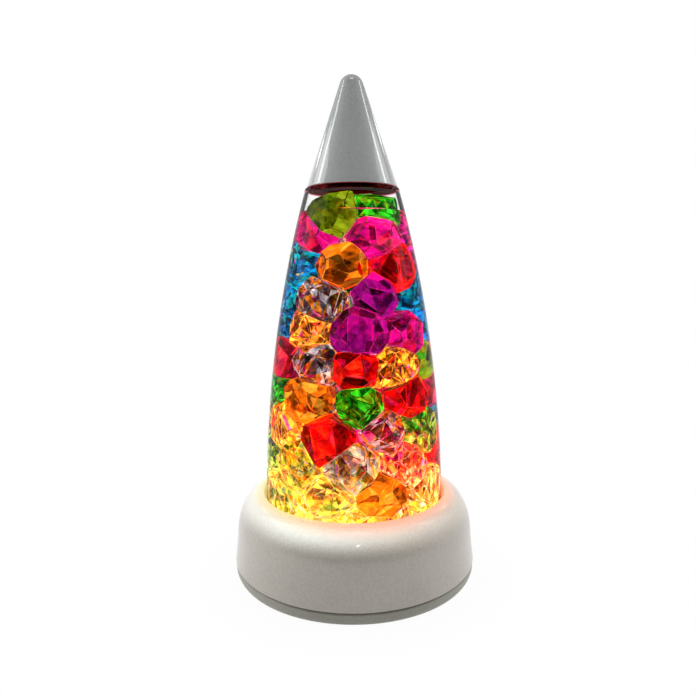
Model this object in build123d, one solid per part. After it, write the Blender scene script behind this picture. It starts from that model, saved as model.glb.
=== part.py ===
from build123d import *
import math
import os

# A sensory lamp: a round light base, a clear tapered bottle full of gems in liquid, and a cone cap.
# Sizes are millimetres. The feet stand on height zero and the front of the lamp is the minus Y side.

# Feet and bottom plate
FOOT_DROP = 1.0
FOOT_RADIUS = 5.0
FOOT_THICKNESS = 2.0
FOOT_COUNT = 4
FOOT_CIRCLE_SHARE = 0.78
PLATE_THICKNESS = 3.0
RIM_HEIGHT = 4.8
RIM_SETBACK = 0.6
RIM_TUCK = 2.4
RIM_BULGE = 0.5
SEAM_GAP = 0.6
SPIGOT_HEIGHT = 3.6
SPIGOT_WALL = 1.6

# Base housing
BASE_REACH = 17.0
HOUSING_WALL = 2.5
WALL_HEIGHT = 14.6
WALL_DRAFT = 1.5
SHOULDER_HEIGHT = 21.8
LIP_ROUND = 2.1
WELL_DEPTH = 10.0
WELL_CLEARANCE = 0.35
LEDGE_THICKNESS = 4.4
LIGHT_SHARE = 0.82
POST_COUNT = 4
POST_SHARE = 0.65

# Light: lens, reflector, board and diodes
LENS_THICKNESS = 2.4
LENS_BEARING = 2.5
SEAT_THICKNESS = 1.2
SEAT_INNER_SHARE = 0.9
SEAT_OUTER_SHARE = 0.985
BOSS_COUNT = 3
BOSS_HEIGHT = 4.4
BOSS_RADIUS = 2.4
BOARD_THICKNESS = 1.6
BOARD_MARGIN = 0.6
REFLECTOR_WALL = 1.2
REFLECTOR_FOOT_SHARE = 0.78
DIODE_RADIUS = 2.5
DIODE_FLANGE = 0.5
DIODE_BARREL = 1.5
DIODE_COUNT = 8
DIODE_CIRCLE_SHARE = 0.5

# Screws
SCREW_RADIUS = 1.4
SCREW_LENGTH = 10.0
SCREW_HEAD_RADIUS = 2.6
SCREW_HEAD_HEIGHT = 1.3
SCREW_SLOT = 0.6
BOARD_SCREW_LENGTH = 5.0

# Cells, tray and door
CELL_COUNT = 3
CELL_RADIUS = 5.25
CELL_LENGTH = 43.3
NUB_RADIUS = 1.9
NUB_LENGTH = 1.2
CELL_GAP = 0.5
CONTACT_ROOM = 2.4
CONTACT_THICKNESS = 0.4
CONTACT_WIDTH_SHARE = 0.7
TRAY_WALL = 1.4
EAR_REACH = 6.0
EAR_THICKNESS = 1.6
PEG_RADIUS = 1.2
DOOR_GAP = 0.4
DOOR_PIN_RADIUS = 0.7
DOOR_PIN_LENGTH = 2.0
NOTCH_WIDTH = 12.0
NOTCH_DEPTH = 1.2
NOTCH_REACH = 4.0

# Slide switch in the rear wall
SWITCH_WIDTH = 14.0
SWITCH_HEIGHT = 7.0
SWITCH_DEPTH = 6.0
SWITCH_TRAVEL = 4.0
SWITCH_HEIGHT_SHARE = 0.6
KNOB_WIDTH = 3.4
KNOB_HEIGHT = 3.0
KNOB_RISE = 1.2
CHANNEL_DEPTH = 2.4
POCKET_DEPTH = 1.8
PAD_THICKNESS = 2.2
PAD_MARGIN = 2.0
RIDGE_COUNT = 3
RIDGE_DEPTH = 0.35

# Leads
LEAD_RADIUS = 0.6
LEAD_BEND = 3.0

# Bottle
BOTTLE_RADIUS = 47.0
BOTTLE_TOP_RADIUS = 24.2
BOTTLE_HEIGHT = 166.2
BOTTLE_BULGE = 5.6
BOTTLE_WALL = 2.2
BOTTLE_FLOOR = 3.0
BOTTLE_FOOT_ROUND = 3.0
BOTTLE_FLOOR_ROUND = 4.0
BOTTLE_SHOULDER_ROUND = 1.4
PUNT_DEPTH = 1.0
PUNT_SHARE = 0.84
NECK_SHARE = 0.61
NECK_WALL = 1.6
NECK_HEIGHT = 5.0
COLLAR_HEIGHT = 1.6
LEVEL_SHARE = 0.933

# Stopper and cone cap
GASKET_THICKNESS = 1.0
STOPPER_WALL = 1.4
STOPPER_TOP = 1.6
STOPPER_LIFT = 0.5
FLUTE_COUNT = 24
FLUTE_RADIUS = 0.7
CAP_STEP = 0.85
CAP_HEIGHT = 55.3
CAP_TIP = 6.2
CAP_WALL = 1.8

# Clearances
FREE_GAP = 0.3
FIT_GAP = 0.1

# Gems
GEM_REACH = 12.8
GEM_GAP = 0.5
GEM_WALL_GAP = 0.55
GEM_FILM = 0.15
GEM_SLIVER = 0.02
GEM_DEPTH = 11.5
GEM_WOBBLE = 2.2
GEM_NEAR_SHARE = 2.7
GEM_FACETS = 16
GEM_UNEVEN_SHARE = 0.2
GEM_SIZE_SHARE = 0.3
GEM_WALL_STEP = 20
GEM_WALL_STEPS = (-2, -1, 0, 1, 2)
GEM_TOP_LEAN = 14
GOLDEN_TURN = 137.508
GOLDEN_SHARE = 0.618034

# Each ring of gems lies against the bottle wall: its height as a share of the inside of the bottle,
# then the bearing of each gem in degrees, zero at the front and growing to the right, and its colour.
RING_SHARES = (
    (0.070, ((-22, "yellow"), (22, "orange"), (68, "orange"), (112, "red"),
             (157, "pink"), (-158, "clear"), (-112, "lime"), (-67, "yellow"))),
    (0.168, ((-2, "clear"), (45, "crimson"), (90, "red"), (135, "orange"),
             (180, "purple"), (-135, "green"), (-90, "lime"), (-46, "yellow"))),
    (0.266, ((-20, "red"), (24, "clear"), (67, "lime"), (112, "blue"),
             (157, "orange"), (-157, "red"), (-112, "yellow"), (-66, "orange"))),
    (0.366, ((-42, "orange"), (5, "green"), (48, "red"), (90, "crimson"),
             (134, "purple"), (178, "yellow"), (-136, "blue"), (-88, "green"))),
    (0.466, ((-36, "clear"), (2, "red"), (40, "orange"), (84, "lime"),
             (130, "pink"), (176, "clear"), (-138, "purple"), (-86, "crimson"))),
    (0.566, ((-43, "orange"), (6, "purple"), (54, "pink"), (104, "blue"),
             (154, "red"), (-154, "lime"), (-98, "blue"))),
    (0.666, ((-34, "clear"), (24, "purple"), (82, "blue"), (140, "orange"),
             (-160, "crimson"), (-96, "blue"))),
    (0.764, ((-12, "orange"), (58, "red"), (130, "purple"), (-158, "lime"), (-86, "blue"))),
    (0.858, ((34, "pink"), (122, "purple"), (-150, "pink"), (-66, "pink"))),
    (0.914, ((-40, "lime"),)),
    (0.936, ((50, "green"), (168, "crimson"))),
)

# The gems in the middle: height share, share of the ring's radius, then bearings and colours.
CORE_SHARES = (
    (0.075, 0.33, ((30, "yellow"), (150, "orange"), (-90, "clear"))),
    (0.172, 0.33, ((90, "orange"), (-150, "yellow"), (-30, "lime"))),
    (0.270, 0.33, ((30, "pink"), (150, "green"), (-90, "orange"))),
    (0.368, 0.33, ((90, "orange"), (-150, "red"), (-30, "clear"))),
    (0.466, 0.31, ((60, "purple"), (-120, "blue"))),
    (0.560, 0.0, ((0, "crimson"),)),
    (0.660, 0.0, ((0, "green"),)),
    (0.758, 0.0, ((0, "clear"),)),
)

# Heights, from the feet up
z_plate = FOOT_DROP
z_floor = z_plate + PLATE_THICKNESS
z_rim = z_plate + RIM_HEIGHT
z_edge = z_rim + SEAM_GAP
z_waist = z_edge + WALL_HEIGHT
z_crown = z_waist + SHOULDER_HEIGHT
z_seat = z_crown - WELL_DEPTH
z_lens = z_seat - LENS_THICKNESS
z_ledge = z_seat - LEDGE_THICKNESS
z_board = z_ledge - BOSS_HEIGHT
z_spigot = z_rim + SPIGOT_HEIGHT
z_switch = z_edge + SWITCH_HEIGHT_SHARE * WALL_HEIGHT
z_bottle = z_seat + SEAT_THICKNESS
z_fill = z_bottle + BOTTLE_FLOOR
z_shoulder = z_bottle + BOTTLE_HEIGHT
z_lip = z_shoulder - BOTTLE_SHOULDER_ROUND
z_ceiling = z_shoulder - BOTTLE_WALL
z_level = z_fill + LEVEL_SHARE * (z_ceiling - z_fill)
z_collar = z_shoulder + COLLAR_HEIGHT
z_mouth = z_collar + NECK_HEIGHT
z_gasket = z_mouth + GASKET_THICKNESS
z_stopper = z_gasket + STOPPER_TOP
z_tip = z_shoulder + CAP_HEIGHT

# Radii
housing_radius = BOTTLE_RADIUS + BASE_REACH
waist_radius = housing_radius - WALL_DRAFT
well_radius = BOTTLE_RADIUS + WELL_CLEARANCE
crown_radius = well_radius + LIP_ROUND
shoulder_reach = waist_radius - crown_radius
rim_radius = housing_radius - RIM_SETBACK
light_radius = LIGHT_SHARE * BOTTLE_RADIUS
lens_radius = light_radius + LENS_BEARING
boss_circle = (light_radius + crown_radius) / 2
board_radius = boss_circle + BOSS_RADIUS + BOARD_MARGIN
post_room = (waist_radius - HOUSING_WALL - crown_radius) / 2
post_circle = crown_radius + post_room
post_radius = POST_SHARE * post_room
cap_radius = BOTTLE_TOP_RADIUS - CAP_STEP
bore_radius = cap_radius - CAP_WALL
neck_radius = NECK_SHARE * cap_radius
stopper_bore = neck_radius + FREE_GAP
stopper_radius = stopper_bore + STOPPER_WALL

# Door and tray, centred on the axis, with the cells lying along Y
cell_pitch = CELL_RADIUS * 2 + CELL_GAP
door_half_width = cell_pitch * CELL_COUNT / 2
door_half_length = (CELL_LENGTH + NUB_LENGTH) / 2 + CONTACT_ROOM
z_cell = z_floor + CELL_GAP + CELL_RADIUS
z_tray = z_cell + CELL_RADIUS + CELL_GAP
door_axis_y = door_half_length - PLATE_THICKNESS / 2
door_axis_z = z_plate + PLATE_THICKNESS / 2

# Switch planes, counted outward along Y
switch_wall = housing_radius - WALL_DRAFT * SWITCH_HEIGHT_SHARE
y_pocket = switch_wall - POCKET_DEPTH
y_pad = y_pocket - PAD_THICKNESS


def bearing(radius, degrees):
    """Place on a circle, at a bearing from the front that grows to the right."""
    turn = math.radians(degrees)
    return (radius * math.sin(turn), -radius * math.cos(turn))


def around(count, radius, first):
    """Evenly spaced places on a circle."""
    return [bearing(radius, first + 360 * k / count) for k in range(count)]


def spun(*edges):
    """Solid of revolution about the lamp's axis, from edges drawn as radius and height."""
    return revolve(Plane.XZ * make_face(list(edges)), axis=Axis.Z)


def rod(radius, low, high, place=(0, 0)):
    """Upright cylinder between two heights."""
    upright = Cylinder(radius, high - low, align=(Align.CENTER, Align.CENTER, Align.MIN))
    return Pos(place[0], place[1], low) * upright


def block(low, high):
    """Box between two corners."""
    sides = [b - a for a, b in zip(low, high)]
    return Pos(*low) * Box(*sides, align=(Align.MIN, Align.MIN, Align.MIN))


def joined(shapes):
    """One shape from several that touch or overlap."""
    total = shapes[0]
    for shape in shapes[1:]:
        total = total + shape
    return total


def separate(shapes):
    """Several loose solids kept together as one sub-part."""
    return Compound(children=[solid for shape in shapes for solid in shape.solids()])


def housing_inner(height):
    """Inner radius of the drafted wall at a height below the waist."""
    return housing_radius - HOUSING_WALL - WALL_DRAFT * (height - z_edge) / WALL_HEIGHT


def side_points(inset):
    """Foot, middle and lip of the bottle's side, moved inward by the inset."""
    middle_radius = (BOTTLE_RADIUS + BOTTLE_TOP_RADIUS) / 2 + BOTTLE_BULGE
    return ((BOTTLE_RADIUS - inset, z_bottle),
            (middle_radius - inset, (z_bottle + z_lip) / 2),
            (BOTTLE_TOP_RADIUS - inset, z_lip))


def side_circle(inset):
    """Centre and radius of the single arc that the bottle's side follows."""
    arc = ThreePointArc(*side_points(inset))
    return arc.arc_center, arc.radius


def side_radius(height, inset):
    """Radius of the bottle's side at a height."""
    centre, radius = side_circle(inset)
    return centre.X + math.sqrt(radius ** 2 - (height - centre.Y) ** 2)


def side_lean(height, inset):
    """How far the side's outward normal points up at a height, in radians."""
    centre, radius = side_circle(inset)
    return math.asin((height - centre.Y) / radius)


def side_arc(inset, low, high):
    """Stretch of the side's arc between two heights."""
    middle = (low + high) / 2
    return ThreePointArc(*[(side_radius(z, inset), z) for z in (low, middle, high)])


def housing_envelope():
    """The housing's outside filled solid, which bounds what grows on its inner face."""
    waist = (waist_radius, z_waist)
    return spun(
        Line((0, z_edge), (housing_radius, z_edge)),
        Line((housing_radius, z_edge), waist),
        EllipticalCenterArc((crown_radius, z_waist), shoulder_reach, SHOULDER_HEIGHT, 0, arc_size=90),
        Line((crown_radius, z_crown), (0, z_crown)),
        Line((0, z_crown), (0, z_edge)),
    )


def housing_shell():
    """Drafted wall, elliptical shoulder, rolled lip, well for the bottle and ledge for the lens."""
    rebate = lens_radius + FREE_GAP
    inner_top = z_crown - HOUSING_WALL
    inner_waist = waist_radius - HOUSING_WALL
    inner_edge = housing_radius - HOUSING_WALL
    return spun(
        Line((housing_radius, z_edge), (waist_radius, z_waist)),
        EllipticalCenterArc((crown_radius, z_waist), shoulder_reach, SHOULDER_HEIGHT, 0, arc_size=90),
        CenterArc((crown_radius, z_crown - LIP_ROUND), LIP_ROUND, 90, 90),
        Polyline((well_radius, z_crown - LIP_ROUND), (well_radius, z_seat), (rebate, z_seat),
                 (rebate, z_lens), (light_radius, z_lens), (light_radius, z_ledge),
                 (crown_radius, z_ledge), (crown_radius, inner_top)),
        EllipticalCenterArc((crown_radius, z_waist), shoulder_reach - HOUSING_WALL,
                            SHOULDER_HEIGHT - HOUSING_WALL, 0, arc_size=90),
        Polyline((inner_waist, z_waist), (inner_edge, z_edge), (housing_radius, z_edge)),
    )


def base_housing():
    """The shell with its screw posts, board bosses and the pad, pocket and slot of the switch."""
    pad_half = SWITCH_WIDTH / 2 + PAD_MARGIN
    pad_rise = SWITCH_HEIGHT / 2 + PAD_MARGIN
    posts = [rod(post_radius, z_floor, z_crown, place) for place in post_places()]
    inside = joined(posts) & (housing_envelope() + rod(housing_radius, z_floor, z_edge))
    pad = block((-pad_half, y_pad, z_switch - pad_rise),
                (pad_half, housing_radius, z_switch + pad_rise)) & housing_envelope()
    bosses = [rod(BOSS_RADIUS, z_board, z_ledge, place) for place in boss_places()]
    solid = housing_shell() + inside + pad + joined(bosses)
    pilot = SCREW_RADIUS + FIT_GAP
    for place in post_places():
        solid = solid - rod(pilot, z_floor, z_floor + SCREW_LENGTH, place)
    for place in boss_places():
        solid = solid - rod(pilot, z_board, z_ledge - FREE_GAP, place)
    pocket = block((-SWITCH_WIDTH / 2, y_pocket, z_switch - SWITCH_HEIGHT / 2),
                   (SWITCH_WIDTH / 2, housing_radius, z_switch + SWITCH_HEIGHT / 2))
    return solid - pocket - switch_slot(y_pad, housing_radius)


def switch_slot(near, far):
    """Room for the slider over its whole travel, between two planes."""
    return block((-SWITCH_TRAVEL / 2 - KNOB_WIDTH / 2 - FREE_GAP, near,
                  z_switch - KNOB_HEIGHT / 2 - FREE_GAP),
                 (SWITCH_TRAVEL / 2 + KNOB_WIDTH / 2 + FREE_GAP, far,
                  z_switch + KNOB_HEIGHT / 2 + FREE_GAP))


def post_places():
    """Screw posts, on the diagonals."""
    return around(POST_COUNT, post_circle, 45)


def boss_places():
    """Board bosses, with one at the front."""
    return around(BOSS_COUNT, boss_circle, 0)


def foot_places():
    """Feet, between the screws."""
    return around(FOOT_COUNT, FOOT_CIRCLE_SHARE * housing_radius, 0)


def ear_places():
    """Pegs that hold the tray's ears."""
    reach = door_half_width + TRAY_WALL + EAR_REACH / 2
    return [(-reach, 0), (reach, 0)]


def bottom_plate():
    """Tucked rim, floor, locating spigot, door opening, screw holes and pockets for the feet."""
    spigot_radius = housing_inner(z_spigot) - FREE_GAP
    low_radius = rim_radius - RIM_TUCK
    middle = ((low_radius + rim_radius) / 2 + RIM_BULGE, (z_plate + z_rim) / 2)
    inner = spigot_radius - SPIGOT_WALL
    plate = spun(
        Line((0, z_plate), (low_radius, z_plate)),
        ThreePointArc((low_radius, z_plate), middle, (rim_radius, z_rim)),
        Polyline((rim_radius, z_rim), (spigot_radius, z_rim), (spigot_radius, z_spigot),
                 (inner, z_spigot), (inner, z_floor), (0, z_floor), (0, z_plate)),
    )
    open_x = door_half_width + DOOR_GAP
    open_y = door_half_length + DOOR_GAP
    plate = plate - block((-open_x, -open_y, z_plate), (open_x, open_y, z_floor))
    pin_reach = open_x + DOOR_PIN_LENGTH
    plate = plate - door_pin(DOOR_PIN_RADIUS + FIT_GAP, pin_reach)
    for place in post_places():
        plate = plate - rod(SCREW_RADIUS + FREE_GAP, z_plate, z_floor, place)
        plate = plate - rod(SCREW_HEAD_RADIUS + FREE_GAP, z_plate, z_plate + SCREW_HEAD_HEIGHT, place)
    for place in foot_places():
        plate = plate - rod(FOOT_RADIUS + FREE_GAP, z_plate, FOOT_THICKNESS, place)
    for place in ear_places():
        plate = plate + rod(PEG_RADIUS, z_floor, z_floor + EAR_THICKNESS, place)
    return plate


def rubber_feet():
    """Round pads let into the plate."""
    return separate([rod(FOOT_RADIUS, 0, FOOT_THICKNESS, place) for place in foot_places()])


def screw(place, seat, length):
    """Screw driven upward: shank from the seat, slotted head below it."""
    shank = rod(SCREW_RADIUS, seat, seat + length, place)
    head = rod(SCREW_HEAD_RADIUS, seat - SCREW_HEAD_HEIGHT, seat, place)
    slot = block((place[0] - SCREW_HEAD_RADIUS, place[1] - SCREW_SLOT / 2, seat - SCREW_HEAD_HEIGHT),
                 (place[0] + SCREW_HEAD_RADIUS, place[1] + SCREW_SLOT / 2,
                  seat - SCREW_HEAD_HEIGHT + SCREW_SLOT))
    return shank + head - slot


def plate_screws():
    """Screws that hold the plate to the posts."""
    seat = z_plate + SCREW_HEAD_HEIGHT
    return separate([screw(place, seat, SCREW_LENGTH) for place in post_places()])


def board_screws():
    """Screws that hold the board up against its bosses."""
    seat = z_board - BOARD_THICKNESS
    return separate([screw(place, seat, BOARD_SCREW_LENGTH) for place in boss_places()])


def door_pin(radius, half_length):
    """Round bar along the door's hinge axis."""
    return Pos(0, door_axis_y, door_axis_z) * Rot(0, 90, 0) * Cylinder(radius, half_length * 2)


def battery_door():
    """Flat door with a rounded hinge edge, two pivots and a finger notch at the free edge."""
    panel = block((-door_half_width, -door_half_length, z_plate),
                  (door_half_width, door_axis_y, z_floor))
    nose = door_pin(PLATE_THICKNESS / 2, door_half_width)
    pivots = door_pin(DOOR_PIN_RADIUS, door_half_width + DOOR_PIN_LENGTH)
    notch = block((-NOTCH_WIDTH / 2, -door_half_length, z_plate),
                  (NOTCH_WIDTH / 2, -door_half_length + NOTCH_REACH, z_plate + NOTCH_DEPTH))
    return panel + nose + pivots - notch


def battery_tray():
    """Box over the door opening, with an ear on each side."""
    half_x = door_half_width + DOOR_GAP
    half_y = door_half_length + DOOR_GAP
    outer = block((-half_x - TRAY_WALL, -half_y - TRAY_WALL, z_floor),
                  (half_x + TRAY_WALL, half_y + TRAY_WALL, z_tray + TRAY_WALL))
    ears = block((-half_x - TRAY_WALL - EAR_REACH, -EAR_REACH, z_floor),
                 (half_x + TRAY_WALL + EAR_REACH, EAR_REACH, z_floor + EAR_THICKNESS))
    tray = outer + ears - block((-half_x, -half_y, z_floor), (half_x, half_y, z_tray))
    for place in ear_places():
        tray = tray - rod(PEG_RADIUS + FIT_GAP, z_floor, z_floor + EAR_THICKNESS, place)
    return tray


def cell_lines():
    """Where each cell lies across the tray, and which way its nub points."""
    first = -cell_pitch * (CELL_COUNT - 1) / 2
    return [(first + cell_pitch * k, 1 - 2 * (k % 2)) for k in range(CELL_COUNT)]


def along(x, low, high, low_radius, high_radius):
    """Round bar or cone lying along Y at the height of the cells."""
    outline = Polyline((0, low), (low_radius, low), (high_radius, high), (0, high), close=True)
    lying = revolve(Plane.XY * make_face(outline), axis=Axis.Y)
    return Pos(x, 0, z_cell) * lying


def battery_cells():
    """Cells with their nubs."""
    half = (CELL_LENGTH + NUB_LENGTH) / 2
    cells = []
    for x, way in cell_lines():
        can = along(x, -half, half - NUB_LENGTH, CELL_RADIUS, CELL_RADIUS)
        nub = along(x, half - NUB_LENGTH, half, NUB_RADIUS, NUB_RADIUS)
        cell = can + nub
        if way < 0:
            cell = mirror(cell, about=Plane.XZ)
        cells.append(cell)
    return separate(cells)


def battery_contacts():
    """A plate with a pressed cone at each end of each cell."""
    wall = door_half_length + DOOR_GAP
    reach = (CELL_LENGTH + NUB_LENGTH) / 2 + FIT_GAP
    half = CELL_RADIUS * CONTACT_WIDTH_SHARE
    contacts = []
    for x, way in cell_lines():
        plate = block((x - half, wall - CONTACT_THICKNESS, z_cell - half), (x + half, wall, z_cell + half))
        cone = along(x, reach, wall - CONTACT_THICKNESS, NUB_RADIUS / 2, NUB_RADIUS)
        contact = plate + cone
        contacts.append(contact)
        contacts.append(mirror(contact, about=Plane.XZ))
    return separate(contacts)


def switch_body():
    """Switch case against the inside of the pad, with the slider's channel in its face."""
    case = block((-SWITCH_WIDTH / 2, y_pad - SWITCH_DEPTH, z_switch - SWITCH_HEIGHT / 2),
                 (SWITCH_WIDTH / 2, y_pad, z_switch + SWITCH_HEIGHT / 2))
    return case - switch_slot(y_pad - CHANNEL_DEPTH, y_pad)


def switch_slider():
    """Slider at its on end, with grip ridges on its face."""
    on = SWITCH_TRAVEL / 2
    face = y_pocket + KNOB_RISE
    knob = block((on - KNOB_WIDTH / 2, y_pad - CHANNEL_DEPTH + FREE_GAP, z_switch - KNOB_HEIGHT / 2),
                 (on + KNOB_WIDTH / 2, face, z_switch + KNOB_HEIGHT / 2))
    pitch = KNOB_WIDTH / (RIDGE_COUNT * 2 + 1)
    for k in range(RIDGE_COUNT):
        left = on - KNOB_WIDTH / 2 + pitch * (k * 2 + 1)
        knob = knob - block((left, face - RIDGE_DEPTH, z_switch - KNOB_HEIGHT / 2),
                            (left + pitch, face, z_switch + KNOB_HEIGHT / 2))
    return knob


def lead(*points):
    """Insulated lead along straight runs with rounded bends."""
    path = FilletPolyline(*points, radius=LEAD_BEND)
    section = Plane(origin=path @ 0, z_dir=path % 0) * Circle(LEAD_RADIUS)
    return sweep(section, path=path)


def lead_red():
    """From the front end of the tray up to the board."""
    x = door_half_width / 2
    start = -door_half_length - DOOR_GAP - TRAY_WALL
    out = start - LEAD_BEND * 2
    return lead((x, start, z_cell), (x, out, z_cell), (x, out, z_board - BOARD_THICKNESS))


def lead_black():
    """From the rear end of the tray to the switch."""
    x = -SWITCH_WIDTH / 4
    start = door_half_length + DOOR_GAP + TRAY_WALL
    end = y_pad - SWITCH_DEPTH
    middle = (start + end) / 2
    side = x - LEAD_BEND * 3
    return lead((side, start, z_cell), (side, middle, z_cell), (x, middle, z_switch), (x, end, z_switch))


def lead_white():
    """From the switch up to the board."""
    x = SWITCH_WIDTH / 4
    start = y_pad - SWITCH_DEPTH
    back = min(start - LEAD_BEND * 2, board_radius - LEAD_BEND)
    return lead((x, start, z_switch), (x, back, z_switch), (x, back, z_board - BOARD_THICKNESS))


def led_board():
    """Round board with its screw holes."""
    board = rod(board_radius, z_board - BOARD_THICKNESS, z_board)
    for place in boss_places():
        board = board - rod(SCREW_RADIUS + FREE_GAP, z_board - BOARD_THICKNESS, z_board, place)
    return board


def diode(place):
    """Domed diode standing on the board."""
    flange = rod(DIODE_RADIUS + DIODE_FLANGE, z_board, z_board + DIODE_FLANGE, place)
    barrel = rod(DIODE_RADIUS, z_board, z_board + DIODE_BARREL, place)
    dome = Pos(place[0], place[1], z_board + DIODE_BARREL) * Sphere(DIODE_RADIUS)
    return flange + barrel + (dome - rod(DIODE_RADIUS * 2, z_board - DIODE_RADIUS * 2, z_board, place))


def diode_places():
    """Ring of diodes round a middle one."""
    ring = around(DIODE_COUNT, DIODE_CIRCLE_SHARE * light_radius, 180 / DIODE_COUNT)
    return [(0, 0)] + ring


def leds_yellow():
    """Middle diode and those on the left."""
    return separate([diode(place) for place in diode_places() if place[0] <= 0])


def leds_red():
    """Diodes on the right."""
    return separate([diode(place) for place in diode_places() if place[0] > 0])


def reflector():
    """Flared ring from the board up to the light opening."""
    foot = REFLECTOR_FOOT_SHARE * light_radius
    top = z_ledge - FREE_GAP
    return spun(Polyline((foot, z_board), (foot + REFLECTOR_WALL, z_board),
                         (light_radius, top), (light_radius - REFLECTOR_WALL, top), close=True))


def lens_disc():
    """Frosted disc in the rebate of the ledge."""
    return rod(lens_radius, z_lens, z_seat)


def seat_ring():
    """Soft ring that the bottle stands on."""
    ring = rod(SEAT_OUTER_SHARE * BOTTLE_RADIUS, z_seat, z_bottle)
    return ring - rod(SEAT_INNER_SHARE * BOTTLE_RADIUS, z_seat, z_bottle)


def bottle():
    """Clear bottle: foot, one long arc up the side, rounded shoulder, centring collar and neck."""
    foot_top = z_bottle + BOTTLE_FOOT_ROUND
    foot_radius = side_radius(foot_top, 0)
    foot_flat = foot_radius - BOTTLE_FOOT_ROUND
    foot_turn = BOTTLE_FOOT_ROUND * (1 - math.sqrt(0.5))
    punt = PUNT_SHARE * BOTTLE_RADIUS
    lip_flat = BOTTLE_TOP_RADIUS - BOTTLE_SHOULDER_ROUND
    lip_turn = BOTTLE_SHOULDER_ROUND * (1 - math.sqrt(0.5))
    collar = bore_radius - FREE_GAP
    neck_inner = neck_radius - NECK_WALL
    return spun(
        Polyline((0, z_fill), (0, z_bottle + PUNT_DEPTH), (punt - PUNT_DEPTH, z_bottle + PUNT_DEPTH),
                 (punt, z_bottle), (foot_flat, z_bottle)),
        ThreePointArc((foot_flat, z_bottle), (foot_radius - foot_turn, z_bottle + foot_turn),
                      (foot_radius, foot_top)),
        side_arc(0, foot_top, z_lip),
        ThreePointArc((BOTTLE_TOP_RADIUS, z_lip), (BOTTLE_TOP_RADIUS - lip_turn, z_shoulder - lip_turn),
                      (lip_flat, z_shoulder)),
        Polyline((lip_flat, z_shoulder), (collar, z_shoulder), (collar, z_collar),
                 (neck_radius, z_collar), (neck_radius, z_mouth), (neck_inner, z_mouth),
                 (neck_inner, z_ceiling), (side_radius(z_ceiling, BOTTLE_WALL), z_ceiling)),
        *cavity_side(z_ceiling),
    )


def cavity_side(top):
    """Inner side of the bottle from a height down to the middle of its floor."""
    corner_top = z_fill + BOTTLE_FLOOR_ROUND
    corner = side_radius(corner_top, BOTTLE_WALL)
    turn = BOTTLE_FLOOR_ROUND * (1 - math.sqrt(0.5))
    flat = corner - BOTTLE_FLOOR_ROUND
    return (
        side_arc(BOTTLE_WALL, corner_top, top),
        ThreePointArc((corner, corner_top), (corner - turn, z_fill + turn), (flat, z_fill)),
        Line((flat, z_fill), (0, z_fill)),
    )


def gem_seeds():
    """Middle of every gem and its colour, ring by ring and then the core."""
    seeds = []
    inside = z_ceiling - z_fill
    for share, gems in RING_SHARES:
        for degrees, colour in gems:
            seeds.append((share, 1, degrees, colour))
    for share, reach, gems in CORE_SHARES:
        for degrees, colour in gems:
            seeds.append((share, reach, degrees, colour))
    placed = []
    for k, (share, reach, degrees, colour) in enumerate(seeds):
        height = z_fill + share * inside + GEM_WOBBLE * math.sin(math.radians(GOLDEN_TURN * k * k))
        ring = side_radius(height, BOTTLE_WALL) - GEM_DEPTH
        x, y = bearing(ring * reach, degrees)
        placed.append((Vector(x, y, height), degrees, colour))
    return placed


def gem_size(index):
    """Size of a gem against the mean one."""
    return 1 + GEM_SIZE_SHARE * ((index + 1) * GOLDEN_SHARE % 1 - 0.5)


def gem_flats(index, seeds):
    """Planes that bound one gem, as a point and an outward direction each."""
    middle, degrees, _ = seeds[index]
    size = gem_size(index)
    flats = []
    for other, (place, _, _) in enumerate(seeds):
        apart = place - middle
        if other != index and apart.length < GEM_REACH * GEM_NEAR_SHARE:
            own_share = size / (size + gem_size(other))
            flats.append((middle + apart * own_share - apart.normalized() * (GEM_GAP / 2), apart.normalized()))
    for k in range(GEM_FACETS):
        rise = 1 - (2 * k + 1) / GEM_FACETS
        turn = GOLDEN_TURN * (k + index * GOLDEN_SHARE)
        x, y = bearing(math.sqrt(1 - rise * rise), turn)
        unevenness = GEM_UNEVEN_SHARE * ((k + 1) * (index + 1) * GOLDEN_SHARE % 1)
        way = Vector(x, y, rise)
        flats.append((middle + way * (GEM_REACH * size * (1 - unevenness)), way))
    return flats + bottle_flats(index, middle, degrees)


def bottle_flats(index, middle, degrees):
    """Planes that keep a gem inside the bottle: wall, floor corner, floor and ceiling."""
    flats = []
    wall = side_radius(middle.Z, BOTTLE_WALL) - GEM_WALL_GAP
    lean = side_lean(middle.Z, BOTTLE_WALL)
    chord = math.cos(math.radians(GEM_WALL_STEP / 2))
    corner_wall = side_radius(z_fill, BOTTLE_WALL) - BOTTLE_FLOOR_ROUND
    for step in GEM_WALL_STEPS:
        turn = degrees + step * GEM_WALL_STEP
        x, y = bearing(1, turn)
        flats.append((Vector(x * wall * chord, y * wall * chord, middle.Z),
                      Vector(x * math.cos(lean), y * math.cos(lean), math.sin(lean))))
        corner = Vector(x, y, -1).normalized()
        heel = Vector(x * corner_wall, y * corner_wall, z_fill + BOTTLE_FLOOR_ROUND)
        flats.append((heel + corner * (BOTTLE_FLOOR_ROUND * chord - GEM_WALL_GAP), corner))
    x, y = bearing(math.sin(math.radians(GEM_TOP_LEAN)), GOLDEN_TURN * index)
    flats.append((Vector(0, 0, z_fill + GEM_WALL_GAP), Vector(0, 0, -1)))
    flats.append((Vector(middle.X, middle.Y, z_ceiling - GEM_DEPTH * math.sin(math.radians(GEM_TOP_LEAN))),
                  Vector(x, y, math.cos(math.radians(GEM_TOP_LEAN)))))
    return flats


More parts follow.
